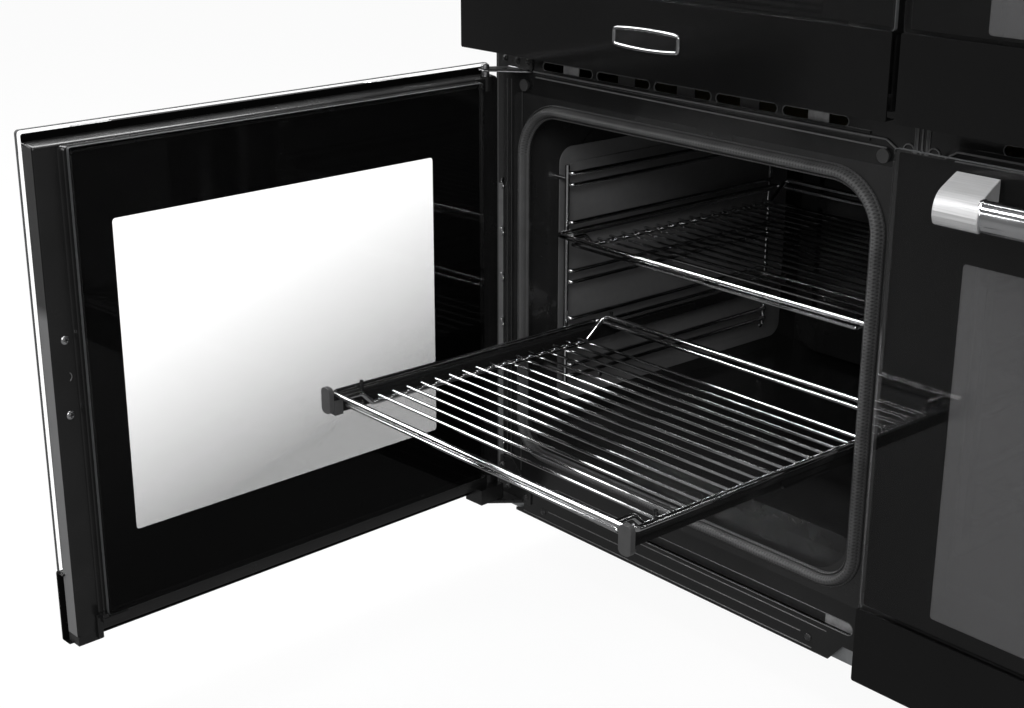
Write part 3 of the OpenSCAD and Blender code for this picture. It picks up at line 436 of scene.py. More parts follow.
def roundCorners(corners, radius, steps=8, closed=False):
    # each corner becomes an arc: start + r (a sin t + n (1 - cos t)) for t from 0 to the turning angle
    p = np.array(corners, float)
    before, after = (np.roll(p, 1, 0), np.roll(p, -1, 0)) if closed else (p[:-2], p[2:])
    middle = p if closed else p[1:-1]
    a, b = unit(middle - before), unit(after - middle)
    cosine = np.clip((a * b).sum(-1, keepdims=True), -1, 1)
    turn = np.arccos(cosine)
    normal = (b - a * cosine) / np.maximum(np.sin(turn), 1e-9)
    r = np.broadcast_to(np.array(radius, float).reshape(-1, 1), turn.shape)
    start = middle - a * r * np.tan(turn / 2)
    t = turn[:, None] * np.linspace(0, 1, steps)[None, :, None]
    arcs = start[:, None] + r[:, None] * (a[:, None] * np.sin(t) + normal[:, None] * (1 - np.cos(t)))
    arcs = arcs.reshape(-1, p.shape[1])
    return arcs if closed else np.concatenate([p[:1], arcs, p[-1:]])


def tube(path, radius, sides=12, closed=False, ref=(0.31, 0.42, 0.85)):
    # circles square to the path, each turned by the same reference direction
    path = np.array(path, float)
    if closed:
        ahead, behind = np.roll(path, -1, 0) - path, path - np.roll(path, 1, 0)
    else:
        steps = np.diff(path, axis=0)
        ahead, behind = np.concatenate([steps, steps[-1:]]), np.concatenate([steps[:1], steps])
    tangent = unit(unit(ahead) + unit(behind))
    across = unit(np.cross(tangent, np.array(ref, float)))
    other = np.cross(tangent, across)
    turn = np.linspace(0, 2 * math.pi, sides, endpoint=False)
    ring = across[:, None] * np.cos(turn)[:, None] + other[:, None] * np.sin(turn)[:, None]
    width = np.broadcast_to(np.array(radius, float).reshape(-1, 1, 1), (len(path), 1, 1))
    blocks = [grid(len(path), sides, closed, True)]
    if not closed:
        blocks += [np.arange(sides)[None, ::-1], np.arange(sides)[None] + (len(path) - 1) * sides]
    return (path[:, None] + width * ring).reshape(-1, 3), blocks


def merged(parts):
    # several vertex arrays with their face blocks as one
    starts = np.cumsum([0] + [len(v) for v, _ in parts])
    return np.concatenate([v for v, _ in parts]), [block + s for s, (_, blocks) in zip(starts, parts)
                                                   for block in blocks]


def moved(part, offset):
    return part[0] + np.array(offset, float), part[1]


def prism(outline, axis, low, high):
    # a flat outline pushed from low to high along one axis; its two columns fill the other axes in order
    flat = np.array(outline, float)
    ends = [np.insert(flat, axis, level, axis=1) for level in (low, high)]
    n = len(flat)
    return np.concatenate(ends), [grid(2, n, False, True), np.arange(n)[None, ::-1], np.arange(n)[None] + n]


def rectangle(lo, hi, radius=0.0, steps=6):
    corners = [(lo[0], lo[1]), (hi[0], lo[1]), (hi[0], hi[1]), (lo[0], hi[1])]
    return roundCorners(corners, np.maximum(radius, 1e-4), steps, True)


def grown(corners, margin):
    # a rectangle's two corners moved out by a margin
    (u0, z0), (u1, z1) = corners
    return (u0 - margin, z0 - margin), (u1 + margin, z1 + margin)


def ringPlate(outer, inner, low, high, radius=3.0, innerRadius=8.0):
    # an upright plate between two rectangles of (u, z), from y low to y high
    loops = [rectangle(*outer, radius), rectangle(*inner, innerRadius)]
    n = len(loops[0])
    layers = [np.insert(loop, 1, y, axis=1) for loop, y in
              ((loops[0], low), (loops[0], high), (loops[1], high), (loops[1], low))]
    return np.concatenate(layers), [grid(4, n, True, True)]


def plate(lo, hi, low, high, radius=3.0):
    return prism(rectangle(lo, hi, radius), 1, low, high)


def revolved(profile, center, direction, sides=24):
    # rows of (radius, height) turned about a line through the centre
    axis = unit(np.array(direction, float))
    across = unit(np.cross(axis, (0.0, 0.0, 1.0) if abs(axis[2]) < 0.9 else (1.0, 0.0, 0.0)))
    other = np.cross(axis, across)
    p = np.array(profile, float)
    turn = np.linspace(0, 2 * math.pi, sides, endpoint=False)
    ring = across * np.cos(turn)[:, None] + other * np.sin(turn)[:, None]
    points = np.array(center, float) + p[:, None, 1:2] * axis + p[:, None, 0:1] * ring
    n = len(p)
    return points.reshape(-1, 3), [grid(n, sides, False, True), np.arange(sides)[None, ::-1],
                                   np.arange(sides)[None] + (n - 1) * sides]


def box(lo, hi):
    # a block between two corners
    return prism([(lo[0], lo[2]), (hi[0], lo[2]), (hi[0], hi[2]), (lo[0], hi[2])], 1, lo[1], hi[1])


def panHead(center, direction, radius, height):
    # domed screw head: r runs out to the rim as the height falls off on a quarter circle
    t = np.linspace(0.08, 1.0, 6) * math.pi / 2
    dome = [(radius * math.sin(a), height * (0.35 + 0.65 * math.cos(a))) for a in t]
    return revolved([*dome, (radius, 0.0)], center, direction, 20)


def addPiece(name, part, material, body, s=None):
    # s: slot (not used), replaces, column (mm in a column's drawing), swung, smooth angle, bevel width, uv
    s = s or {}
    vertices, blocks = part
    if "column" in s:
        vertices = inColumn(vertices, s["column"], s.get("swung", False))
    else:
        vertices = np.array(vertices, float) * mm
    mesh = bpy.data.meshes.new(name)
    mesh.from_pydata(vertices.tolist(), [], [face for block in blocks for face in block.tolist()])
    if "uv" in s:
        layer = mesh.uv_layers.new(name="UVMap")
        corner = np.zeros(len(mesh.loops), np.int32)
        mesh.loops.foreach_get("vertex_index", corner)
        layer.data.foreach_set("uv", np.asarray(s["uv"], np.float32)[corner].ravel())
    shape = bmesh.new()
    shape.from_mesh(mesh)
    bmesh.ops.recalc_face_normals(shape, faces=shape.faces)
    shape.to_mesh(mesh)
    shape.free()
    mesh.shade_smooth()
    mesh.set_sharp_from_angle(angle=math.radians(s.get("smooth", 32)))
    piece = bpy.data.objects.new(name, mesh)
    bpy.context.scene.collection.objects.link(piece)
    mesh.materials.append(materials[material])
    if "bevel" in s:
        soften(piece, s["bevel"])
    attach(piece, body)
    if "replaces" in s:
        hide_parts(*s["replaces"])
    return piece


def soften(piece, width, angle=35, weld=False):
    # small rounds on the sharp edges
    if weld:
        joinUp = piece.modifiers.new("weld", "WELD")
        joinUp.merge_threshold = 0.00001
    edges = piece.modifiers.new("rounds", "BEVEL")
    edges.width = width * mm
    edges.segments = 2
    edges.limit_method = "ANGLE"
    edges.angle_limit = math.radians(angle)
    edges.harden_normals = True
    edges.use_clamp_overlap = True


for name, width in (("runner_caps", 1.2), ("door_bumpers", 1.0), ("left_door_strip", 0.8),
                    ("right_door_strip", 0.8), ("grill_door_left_strip", 0.8),
                    ("grill_door_right_strip", 0.8), ("hob_frame", 1.2)):
    soften(nodes[name], width, 40, True)

# wire racks: frame wire, inner wire with its dip and raised rim, cross wires and a second front wire
rackWires = {"half": 191.5, "depth": 329.0, "corner": 7.0, "wire": 2.5, "inner": 173.0, "dipStart": 19.0,
             "dipEnd": 31.0, "low": -11.5, "riseStart": 297.0, "riseEnd": 323.0, "rim": 10.0, "thin": 1.5,
             "firstBar": 40.5, "lastBar": 288.5, "bars": 16, "barZ": -7.6, "barOver": 3.2,
             "secondY": 2.0, "secondZ": -6.6, "second": 1.7}


def rackPart(s):
    half, inner, depth = s["half"], s["inner"], s["depth"]
    loop = roundCorners([(-half, 0, 0), (half, 0, 0), (half, depth, 0), (-half, depth, 0)],
                        s["corner"], 10, True)
    side = [(inner, 0, 0), (inner, s["dipStart"], 0), (inner, s["dipEnd"], s["low"]),
            (inner, s["riseStart"], s["low"]), (inner, s["riseEnd"], s["rim"])]
    path = roundCorners([(-x, y, z) for x, y, z in side] + side[::-1], 6.0, 7)
    second = roundCorners([(-inner, 20, -8), (-inner, s["secondY"], s["secondZ"]),
                           (inner, s["secondY"], s["secondZ"]), (inner, 20, -8)], 3.0, 6)
    bar = tube([(-inner - s["barOver"], 0, s["barZ"]), (-inner - s["barOver"] + 0.5, 0, s["barZ"]),
                (inner + s["barOver"] - 0.5, 0, s["barZ"]), (inner + s["barOver"], 0, s["barZ"])],
               [s["thin"] - 0.5, s["thin"], s["thin"], s["thin"] - 0.5], 10)
    bars = [moved(bar, (0, y, 0)) for y in np.linspace(s["firstBar"], s["lastBar"], s["bars"])]
    return merged([tube(loop, s["wire"], 14, True, (0, 0, 1)), tube(path, s["wire"], 14),
                   tube(second, s["second"], 10), *bars])


rackShape = rackPart(rackWires)
for name, body in (("rack_lower", "runner_carriage"), ("rack_upper", "rack_upper"),
                   ("rack_right_low", "rack_right_low"), ("rack_right_high", "rack_right_high")):
    low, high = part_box(name)
    middle = ((low.x + high.x) / 2 / mm, low.y / mm + 2.5, high.z / mm - 12.5)
    addPiece(name + "_wires", moved(rackShape, middle), "chrome_wire", body,
             {"slot": "chrome_wire", "replaces": [name]})
print("racks made")

# wire ladders beside the cavity walls
ladder = {"front": 91.0, "rear": 397.0, "low": 189.0, "top": 417.2, "first": 198.0, "pitch": 49.9,
          "gap": 11.6, "levels": 5, "stileU": 52.5, "rungU": 58.5, "wallU": 40.0, "bend": 5.0,
          "rung": 2.25, "stile": 2.5}


def ladderPart(s):
    parts = []
    for y in (s["front"], s["rear"]):
        parts.append(tube([(s["stileU"], y, s["low"]), (s["stileU"], y, s["top"])], s["stile"], 12))
        for z in (s["low"] + 12, s["top"] - 14):
            parts.append(tube([(s["wallU"], y, z), (s["stileU"], y, z)], s["stile"], 12))
    rung = tube(roundCorners([(s["stileU"], s["front"] + 1, 0), (s["rungU"], s["front"] + 1, 0),
                              (s["rungU"], s["rear"] - 1, 0), (s["stileU"], s["rear"] - 1, 0)],
                             s["bend"], 7), s["rung"], 12)
    levels = (s["first"] + s["pitch"] * np.repeat(np.arange(s["levels"]), 2)
              + s["gap"] * np.tile([0, 1], s["levels"]))
    return merged(parts + [moved(rung, (0, 0, z)) for z in levels])


cavityMiddle = 253.0
one = ladderPart(ladder)
other = (one[0] * (-1, 1, 1) + (2 * cavityMiddle, 0, 0), one[1])
both = merged([one, other])
supports = merged([(inColumn(both[0], c) / mm, both[1]) for c in (0, 1)])
addPiece("shelf_support_wires", supports, "chrome_wire", "carcass",
         {"slot": "chrome_wire", "replaces": ["shelf_supports"]})
print("shelf supports made")

# braided seals: a loop round each mouth with a thin outer lip, a round body and an inner lip ring
seal = {"mouthU": (50.0, 456.0), "ovenZ": (134.5, 473.5), "ovenR": 40.0, "grillZ": (572.0, 738.0),
        "grillR": 20.0, "width": 13.0, "back": 43.0, "tight": 14.0,
        "profile": ((0.0, 0.0), (0.0, 2.2), (0.5, 2.8), (1.0, 2.2), (1.4, 0.8), (1.9, 1.2), (2.2, 3.4),
                    (3.0, 5.6), (4.4, 7.4), (6.2, 8.2), (8.0, 7.6), (9.5, 5.8), (10.3, 3.4), (10.5, 1.2),
                    (11.0, 0.8), (11.6, 2.4), (12.2, 3.0), (12.8, 2.4), (13.0, 0.0))}


def sealPart(z, radius, s):
    # one rounded rectangle for each profile point, moved in by its offset and out by its height
    w = s["width"]
    loops = [np.insert(rectangle((s["mouthU"][0] - w + d, z[0] - w + d),
                                 (s["mouthU"][1] + w - d, z[1] + w - d),
                                 np.array((radius - s["tight"],) * 2 + (radius,) * 2) + w - d, 14),
                       1, s["back"] - h, axis=1) for d, h in s["profile"]]
    n, rows = len(loops[0]), len(loops)
    # UV: metres round the loop, and 0 to 1 across the profile
    lengths = np.linalg.norm(loops[rows // 2] - np.roll(loops[rows // 2], 1, 0), axis=1)
    along = np.cumsum(lengths) * mm
    uv = np.stack([np.tile(along, rows), np.repeat(np.linspace(0, 1, rows), n)], 1)
    return (np.concatenate(loops), [grid(rows, n, False, True)]), uv


sealParts, sealUv = [], []
for column in (0, 1):
    for z, radius in ((seal["ovenZ"], seal["ovenR"]), (seal["grillZ"], seal["grillR"])):
        part, uv = sealPart(z, radius, seal)
        sealParts.append((inColumn(part[0], column) / mm, part[1]))
        sealUv.append(uv)
addPiece("door_seal_braids", merged(sealParts), "braided_seal", "carcass",
         {"slot": "braided_seal", "replaces": ["door_seals"], "uv": np.concatenate(sealUv), "smooth": 60})
print("seals made")

# glass panes with a black print behind them that leaves a clear margin, and ground edges
glass = {
    "oven_outer": {"y": (2.2, 6.2), "outer": ((0.3, 141.0), (491.7, 517.5)), "printY": 6.3,
                   "window": ((65.5, 156.5), (426.5, 443.0)), "radius": 3.0, "margin": 2.7},
    "oven_inner": {"y": (29.4, 33.4), "outer": ((31.5, 102.0), (463.5, 504.4)), "printY": 29.1,
                   "window": ((92.9, 170.1), (429.5, 442.1)), "radius": 2.0, "margin": 0.6},
    "grill_outer": {"y": (2.2, 6.2), "outer": ((0.3, 601.5), (491.7, 779.0)), "printY": 6.3,
                    "window": ((68.0, 606.5), (424.0, 735.0)), "radius": 3.0, "margin": 2.7},
    "grill_inner": {"y": (29.7, 33.7), "outer": ((75.0, 588.0), (431.0, 724.0)), "printY": 29.4,
                    "window": ((80.0, 593.0), (426.0, 719.0)), "radius": 2.0, "margin": 0.6},
}

# width of the ground edge outside the pane, its gap to the pane, and its inset from both faces; depth of the
# print; the faces of the grey haze sheet, a painted reflection, behind the print's front and its lap past the
# window
glassEdge = {"wide": 0.35, "near": 0.03, "inset": 0.4, "print": 0.2, "film": (0.25, 0.5), "lap": 1.0}


def glassPieces(name, g, column, body, nodeName, swung=False, pane="clear_pane", film=False):
    s = {"column": column, "swung": swung, "slot": "door_glass"}
    e, (low, high) = glassEdge, g["y"]
    addPiece(name + "_pane", plate(*g["outer"], low, high, g["radius"]), pane, body, {**s, **nodeName})
    band = ringPlate(grown(g["outer"], e["wide"]), grown(g["outer"], e["near"]), low + e["inset"],
                     high - e["inset"], g["radius"], g["radius"])
    addPiece(name + "_ground_edge", band, "ground_edge", body, s)
    ring = ringPlate(grown(g["outer"], -g["margin"]), g["window"], g["printY"], g["printY"] + e["print"],
                     2.0, 3.0)
    addPiece(name + "_print", ring, "glass_print", body, s)
    # a grey sheet behind the window veils it: a painted reflection of the bright studio in the glass
    if film:
        reflection_plate = plate(*grown(g["window"], e["lap"]), *(g["printY"] + d for d in e["film"]), 3.0)
        addPiece(name + "_film", reflection_plate, "painted_haze_pane", body, s)


ovenDoors = ((0, "left_door", True), (1, "right_door", False))
for column, door, swung in ovenDoors:
    for side in ("outer", "inner"):
        pane = "painted_shade_pane" if side == "inner" and swung else "clear_pane"
        glassPieces(door + "_" + side, glass["oven_" + side], column, door,
                    {"replaces": [door + "_" + side + "_glass"]}, swung, pane,
                    side == "outer" and not swung)
for column, door in ((0, "grill_door_left"), (1, "grill_door_right")):
    glassPieces(door + "_outer", glass["grill_outer"], column, door, {"replaces": [door + "_glass"]},
                film=column == 1)
    glassPieces(door + "_inner", glass["grill_inner"], column, door, {})
print("glass made")

# oven door pans: a front tray edge, a flange for the screws and a raised seat for the inner glass
doorPan = {
    # each loop: u from, u to, z from, z to, y, corner radius
    "loops": ((3.0, 489.0, 84.5, 508.6, 6.8, 1.5), (3.0, 489.0, 84.5, 507.0, 20.8, 2.0),
              (3.4, 488.6, 84.9, 506.0, 22.6, 2.5), (4.6, 487.4, 86.1, 505.4, 23.3, 3.0),
              (26.6, 468.4, 98.2, 505.2, 23.3, 4.0), (27.6, 467.4, 99.2, 505.1, 24.4, 4.0),
              (28.4, 466.6, 100.0, 505.0, 28.6, 4.0), (29.2, 465.8, 100.8, 504.9, 29.3, 4.0),
              (34.0, 460.0, 106.0, 500.0, 29.3, 3.0), (34.0, 460.0, 106.0, 500.0, 6.8, 3.0)),
    "tail": ((466.5, 6.8, 77.2), (488.9, 23.2, 86.0)),
    "bosses": (90.0, 501.0), "bossHigh": 7.0, "boss": 7.4,
    "bracket": ((3.2, 7.0, 69.8), (34.0, 31.0, 86.0)),
}


def doorPanPart(s):
    layers = [np.insert(rectangle((u0, z0), (u1, z1), r, 8), 1, y, axis=1)
              for u0, u1, z0, z1, y, r in s["loops"]]
    n = len(layers[0])
    parts = [(np.concatenate(layers), [grid(len(layers), n, True, True)]), box(*s["tail"]),
             box(*s["bracket"])]
    pivot = leftDoor["pivotU"], leftDoor["pivotY"]
    for z in s["bosses"]:
        parts.append(revolved([(s["boss"], -s["bossHigh"]), (s["boss"], s["bossHigh"])], (*pivot, z),
                              (0, 0, 1), 28))
    return merged(parts)


for column, door, swung in ovenDoors:
    addPiece(door + "_pan", doorPanPart(doorPan), "door_enamel", door,
             {"column": column, "swung": swung, "slot": "door_enamel", "replaces": [door + "_frame"]})

# what is fastened to the pans: flange screws, a punched mark, top screws and slots, and a glass clip
doorTrim = {
    "flangeScrews": ((476.4, 349.0), (477.4, 285.1)), "mark": (476.4, 317.5), "flangeY": 23.3, "screw": 3.9,
    "topScrews": ((472.0, 13.0), (375.1, 14.3), (279.0, 13.9), (207.3, 12.3), (112.5, 13.7)),
    "slots": ((304.0, 371.0), (212.2, 274.0), (115.8, 183.0)), "topZ": 506.6, "slotY": 15.4,
    "wall": ((488.95, 7.4, 86.0), (489.25, 22.0, 506.0)),
    # clip that holds the inner glass's lower free corner, with a tab down to the flange
    "clip": (((446.0, 29.0, 97.0), (470.5, 35.4, 101.4)), ((464.8, 29.0, 101.4), (470.5, 35.4, 105.0)),
             ((466.5, 23.4, 79.0), (471.5, 26.4, 101.0))),
}


def doorTrimPieces(door, column, swung, s):
    base = {"column": column, "swung": swung, "slot": "door_enamel"}
    heads = [panHead((u, s["flangeY"], z), (0, 1, 0), s["screw"], 2.2) for u, z in s["flangeScrews"]]
    heads += [panHead((u, y, s["topZ"] - 0.2), (0, 0, 1), 2.0, 1.2) for u, y in s["topScrews"]]
    addPiece(door + "_screws", merged(heads), "steel_and_painted_glint", door, base)
    # dark crosses on the flange screws and dark slots in the top: painted shade in the recesses and openings
    crosses = []
    for u, z in s["flangeScrews"]:
        y = s["flangeY"] + 2.0
        crosses += [box((u - 2.0, y, z - 0.35), (u + 2.0, y + 0.35, z + 0.35)),
                    box((u - 0.35, y, z - 2.0), (u + 0.35, y + 0.35, z + 2.0))]
    for u0, u1 in s["slots"]:
        crosses.append(prism(rectangle((u0, s["slotY"] - 2.2), (u1, s["slotY"] + 0.6), 1.3, 5), 2,
                             s["topZ"] - 0.6, s["topZ"] + 0.25))
    addPiece(door + "_openings", merged(crosses), "glass_print", door, base)
    # bright far edge of each slot, and the punched mark's raised rim, in the lighter grey: painted highlights
    rims = [tube([(u0 + 1, s["slotY"] + 0.9, s["topZ"] + 0.1),
                  (u1 - 1, s["slotY"] + 0.9, s["topZ"] + 0.1)], 0.45, 8)
            for u0, u1 in s["slots"]]
    t = np.linspace(math.radians(-70), math.radians(60), 14)
    u, z = s["mark"]
    rims.append(tube(np.stack([u - 3.4 * np.cos(t), np.full(14, s["flangeY"]), z + 3.8 * np.sin(t)], 1),
                     0.45, 8))
    addPiece(door + "_slot_rims", merged(rims), "fold_edge", door, base)
    # the door's end wall, painted lit below and painted in shade above
    addPiece(door + "_end_wall", box(*s["wall"]), "end_wall", door, base)
    clip = merged([box(*corners) for corners in s["clip"]])
    addPiece(door + "_glass_clip", clip, "door_enamel", door, {**base, "bevel": 0.6})


for column, door, swung in ovenDoors:
    doorTrimPieces(door, column, swung, doorTrim)
print("door pans made")

# handles: brushed end blocks that lean in towards the middle, thin collars and a chromed tube
handle = {"blocks": (54.9, 400.7), "wide": 36.4, "lean": 0.37, "tubeY": -42.4, "tubeZ": -1.1, "tube": 11.2,
          "collar": 11.7,
          # profile of a block as (y, z from the tube's middle), from its top at the glass round the nose
          "profile": ((2.2, 14.6), (-19.6, 12.9), (-36.0, 11.4), (-42.5, 10.5), (-47.5, 8.8), (-51.5, 6.2),
                      (-54.2, 3.0), (-55.6, -0.6), (-55.4, -4.4), (-53.8, -8.0), (-51.2, -10.8),
                      (-48.0, -12.4), (-44.5, -13.0), (2.2, -12.2)),
          "ovenZ": 495.3, "grillZ": 756.8}


def handlePieces(name, column, z, body, node, s, swung=False):
    outline = np.array(s["profile"]) + (0.0, z)
    middle = (s["blocks"][0] + s["blocks"][1] + s["wide"]) / 2
    blocks = []
    for u in s["blocks"]:
        points, faces = prism(outline, 0, u, u + s["wide"])
        # lean: each point moves towards the middle by lean times its distance out from the glass
        points[:, 0] += math.copysign(s["lean"], middle - u) * (2.2 - points[:, 1])
        blocks.append((points, faces))
    base = {"column": column, "swung": swung, "slot": "handle_metal"}
    addPiece(name + "_blocks", merged(blocks), "brushed_ends", body,
             {**base, "bevel": 0.7, "replaces": [node], "smooth": 20})
    reach = s["lean"] * (2.2 - s["tubeY"])
    u0, u1 = s["blocks"][0] + s["wide"] + reach, s["blocks"][1] - reach
    z += s["tubeZ"]
    rings = [tube([(u, s["tubeY"], z) for u in (u0 - 2, u0 + 3, middle, u1 - 3, u1 + 2)], s["tube"], 48),
             tube([(u0 + d, s["tubeY"], z) for d in (-1.5, 0.0, 1.0, 1.4)],
                  [s["collar"] - 0.4, s["collar"], s["collar"], s["collar"] - 0.4], 48)]
    rings.append((rings[1][0] * (-1, 1, 1) + (u0 + u1, 0, 0), rings[1][1]))
    # the ends lean like the blocks: u shifts by lean times the distance in front of the tube's middle
    for points, faces in rings:
        points[:, 0] += np.sign(np.round(points[:, 0] - middle)) * s["lean"] * (points[:, 1] - s["tubeY"])
    addPiece(name + "_tube", merged(rings), "chrome_tube", body, base)


for name, column, z, body, swung in (("left_door_handle", 0, "ovenZ", "left_door", True),
                                     ("right_door_handle", 1, "ovenZ", "right_door", False),
                                     ("grill_door_left_handle", 0, "grillZ", "grill_door_left", False),
                                     ("grill_door_right_handle", 1, "grillZ", "grill_door_right", False)):
    handlePieces(name, column, handle[z], body, name, handle, swung)
print("handles made")


def atFace(points, y):
    return np.insert(np.array(points, float), 1, y, axis=1)


# hinges: black brackets on the frame, bright arms with pins, and bolts
hinge = {"pivot": (14.4, 17.7), "face": 41.5, "armZ": 512.5, "lowZ": 66.0, "arm": 3.0, "pin": 4.0,
         "top": ((8.0, 514.2), (55.0, 514.2), (55.0, 529.5), (24.0, 529.5), (12.0, 522.0)),
         "bottom": ((8.0, 66.0), (56.0, 66.0), (56.0, 79.0), (26.0, 110.0), (8.0, 110.0)),
         "bolts": ((16.3, 523.0), (33.7, 522.4), (49.2, 523.0), (12.0, 98.6), (21.1, 77.5), (48.8, 73.6)),
         "topArm": ((9.5, 22.7), (10.5, 14.0), (18.0, 12.0), (24.0, 16.0), (50.0, 39.0), (52.0, 43.0),
                    (22.0, 43.0)),
         "lowArm": ((6.4, 13.7), (21.4, 12.2), (46.0, 43.0), (8.0, 43.0)), "grillZ": 547.5,
         "grillU": (24.5, 467.5),
         # bright edge of the arm from (u, y), its lip from (u, z), and the bolts' heads as (radius, height)
         "edge": ((9.0, 14.0), (18.0, 12.2), (50.5, 39.0), (52.5, 42.4)),
         "lip": ((22.0, 515.6), (44.0, 514.6)),
         "head": ((0.6, 2.4), (1.6, 2.2), (2.3, 1.6), (2.6, 0.9), (3.4, 0.7), (3.6, 0.0))}


def hingePieces(column, s):
    base = {"column": column, "slot": "hinge_steel"}
    node = {"replaces": ["hinge_plates"]} if column == 0 else {}
    name = "left_" if column == 0 else "right_"
    px, py = s["pivot"]
    black = [prism(roundCorners(s["top"], 3.0, 6, True), 1, s["face"], 43.0),
             prism(roundCorners(s["bottom"], 3.0, 6, True), 1, s["face"], 43.0),
             prism(roundCorners(s["lowArm"], 2.0, 5, True), 2, s["lowZ"], s["lowZ"] + s["arm"]),
             revolved([(9.0, 0.0), (9.0, s["arm"])], (px, py, s["lowZ"]), (0, 0, 1), 32)]
    for u in s["grillU"]:
        black.append(box((u - 1.5, py, s["grillZ"] - 6), (u + 1.5, 43.0, s["grillZ"] + 6)))
        black.append(revolved([(6.0, -1.5), (6.0, 1.5)], (u, py, s["grillZ"]), (1, 0, 0), 28))
    black.append(prism(roundCorners(s["topArm"], 2.5, 6, True), 2, s["armZ"] + 1.2, s["armZ"] + s["arm"]))
    addPiece(name + "hinge_brackets", merged(black), "hinge_black", "carcass",
             {**base, **node, "bevel": 0.4})
    edge = roundCorners(np.insert(np.array(s["edge"]), 2, s["armZ"] + 1.0, axis=1), 3.0, 6)
    pin, tip = s["pin"], s["pin"] - 0.8
    bright = [tube(edge, 0.75, 8), tube(atFace(s["lip"], s["face"] - 0.4), 0.9, 8),
              revolved([(pin, 0.0), (pin, 22.0), (tip, 23.0)], (px, py, s["armZ"] - 16.6), (0, 0, 1), 28),
              revolved([(tip, 0.0), (pin, 1.0), (pin, 29.0)], (px, py, s["lowZ"]), (0, 0, 1), 28)]
    for u in s["grillU"]:
        inward = -1 if u < 246 else 1
        bright.append(revolved([(pin, 0.0), (pin, 12.0)], (u, py, s["grillZ"]), (inward, 0, 0), 28))
    addPiece(name + "hinge_arms", merged(bright), "hinge_steel", "carcass", {**base, "bevel": 0.3})
    # bolt heads: a low washer face with a domed centre
    heads = [revolved(s["head"], (u, s["face"], z), (0, -1, 0), 24) for u, z in s["bolts"]]
    addPiece(name + "hinge_bolts", merged(heads), "black_screw", "carcass", base)


for column in (0, 1):
    hingePieces(column, hinge)
print("hinges made")

# front frame: ridges and folds that catch the light, painted as highlights in a lighter grey, rims of the
# vents, the duct behind them, rail and screws
trim = {
    "face": 43.0,
    "upper": ((56.7, 514.3), (464.0, 513.2), (473.4, 507.5)), "lower": ((60.2, 509.5), (464.6, 506.5)),
    "third": ((149.0, 508.6), (300.0, 507.6)),
    "folds": (490.9, 496.3, 500.0, 502.5), "foldZ": (506.5, 533.0),
    "hook": (484.5, 507.6, 5.0), "ventU": (102.5, 175.1, 247.7, 320.3, 392.9), "ventZ": 521.0,
    # bright: the vents whose ducts get the bright zinc, painted light; the others get the dark sheet, painted
    # shade
    "vent": (66.5, 7.5), "bright": (0, 4),
    # duct behind a vent, from its middle, and the tray behind the long slot with its lit end
    "duct": ((-12.0, 6.0, -5.0), (9.0, 7.0, 5.5)), "tray": ((4.0, 7.0, -7.5), (-34.0, 8.0, 7.0)),
    "trayEnd": ((-34.0, 6.5, -7.5), (-3.0, 8.0, 7.0)), "longSlot": (278.5, 90.5, 377.0, 11.0),
    "rail": (((57.3, 80.8), (440.0, 79.4)), ((82.0, 68.1), (412.0, 68.6)), ((44.0, 57.6), (425.0, 57.2))),
    "screws": ((74.3, 65.4), (420.7, 65.8)), "stile": ((4.4, -0.35, 100.0), (11.4, 0.0, 398.0)),
    "skin": ((0.9, 0.3, 64.0), (3.3, 26.0, 534.0)), "stileZ": (101.0, 503.0),
    "stileFolds": (18.0, 24.0, 39.5),
    "curls": (398.7, 350.9, 304.2, 255.6, 205.0, 125.3), "curlU": 10.8,
}


def slotLoop(u, z, length, height, inset=0.0):
    # straight sides with half-round ends
    a, b = length / 2 - inset, height / 2 - inset
    return rectangle((u - a, z - b), (u + a, z + b), b - 0.01, 7)


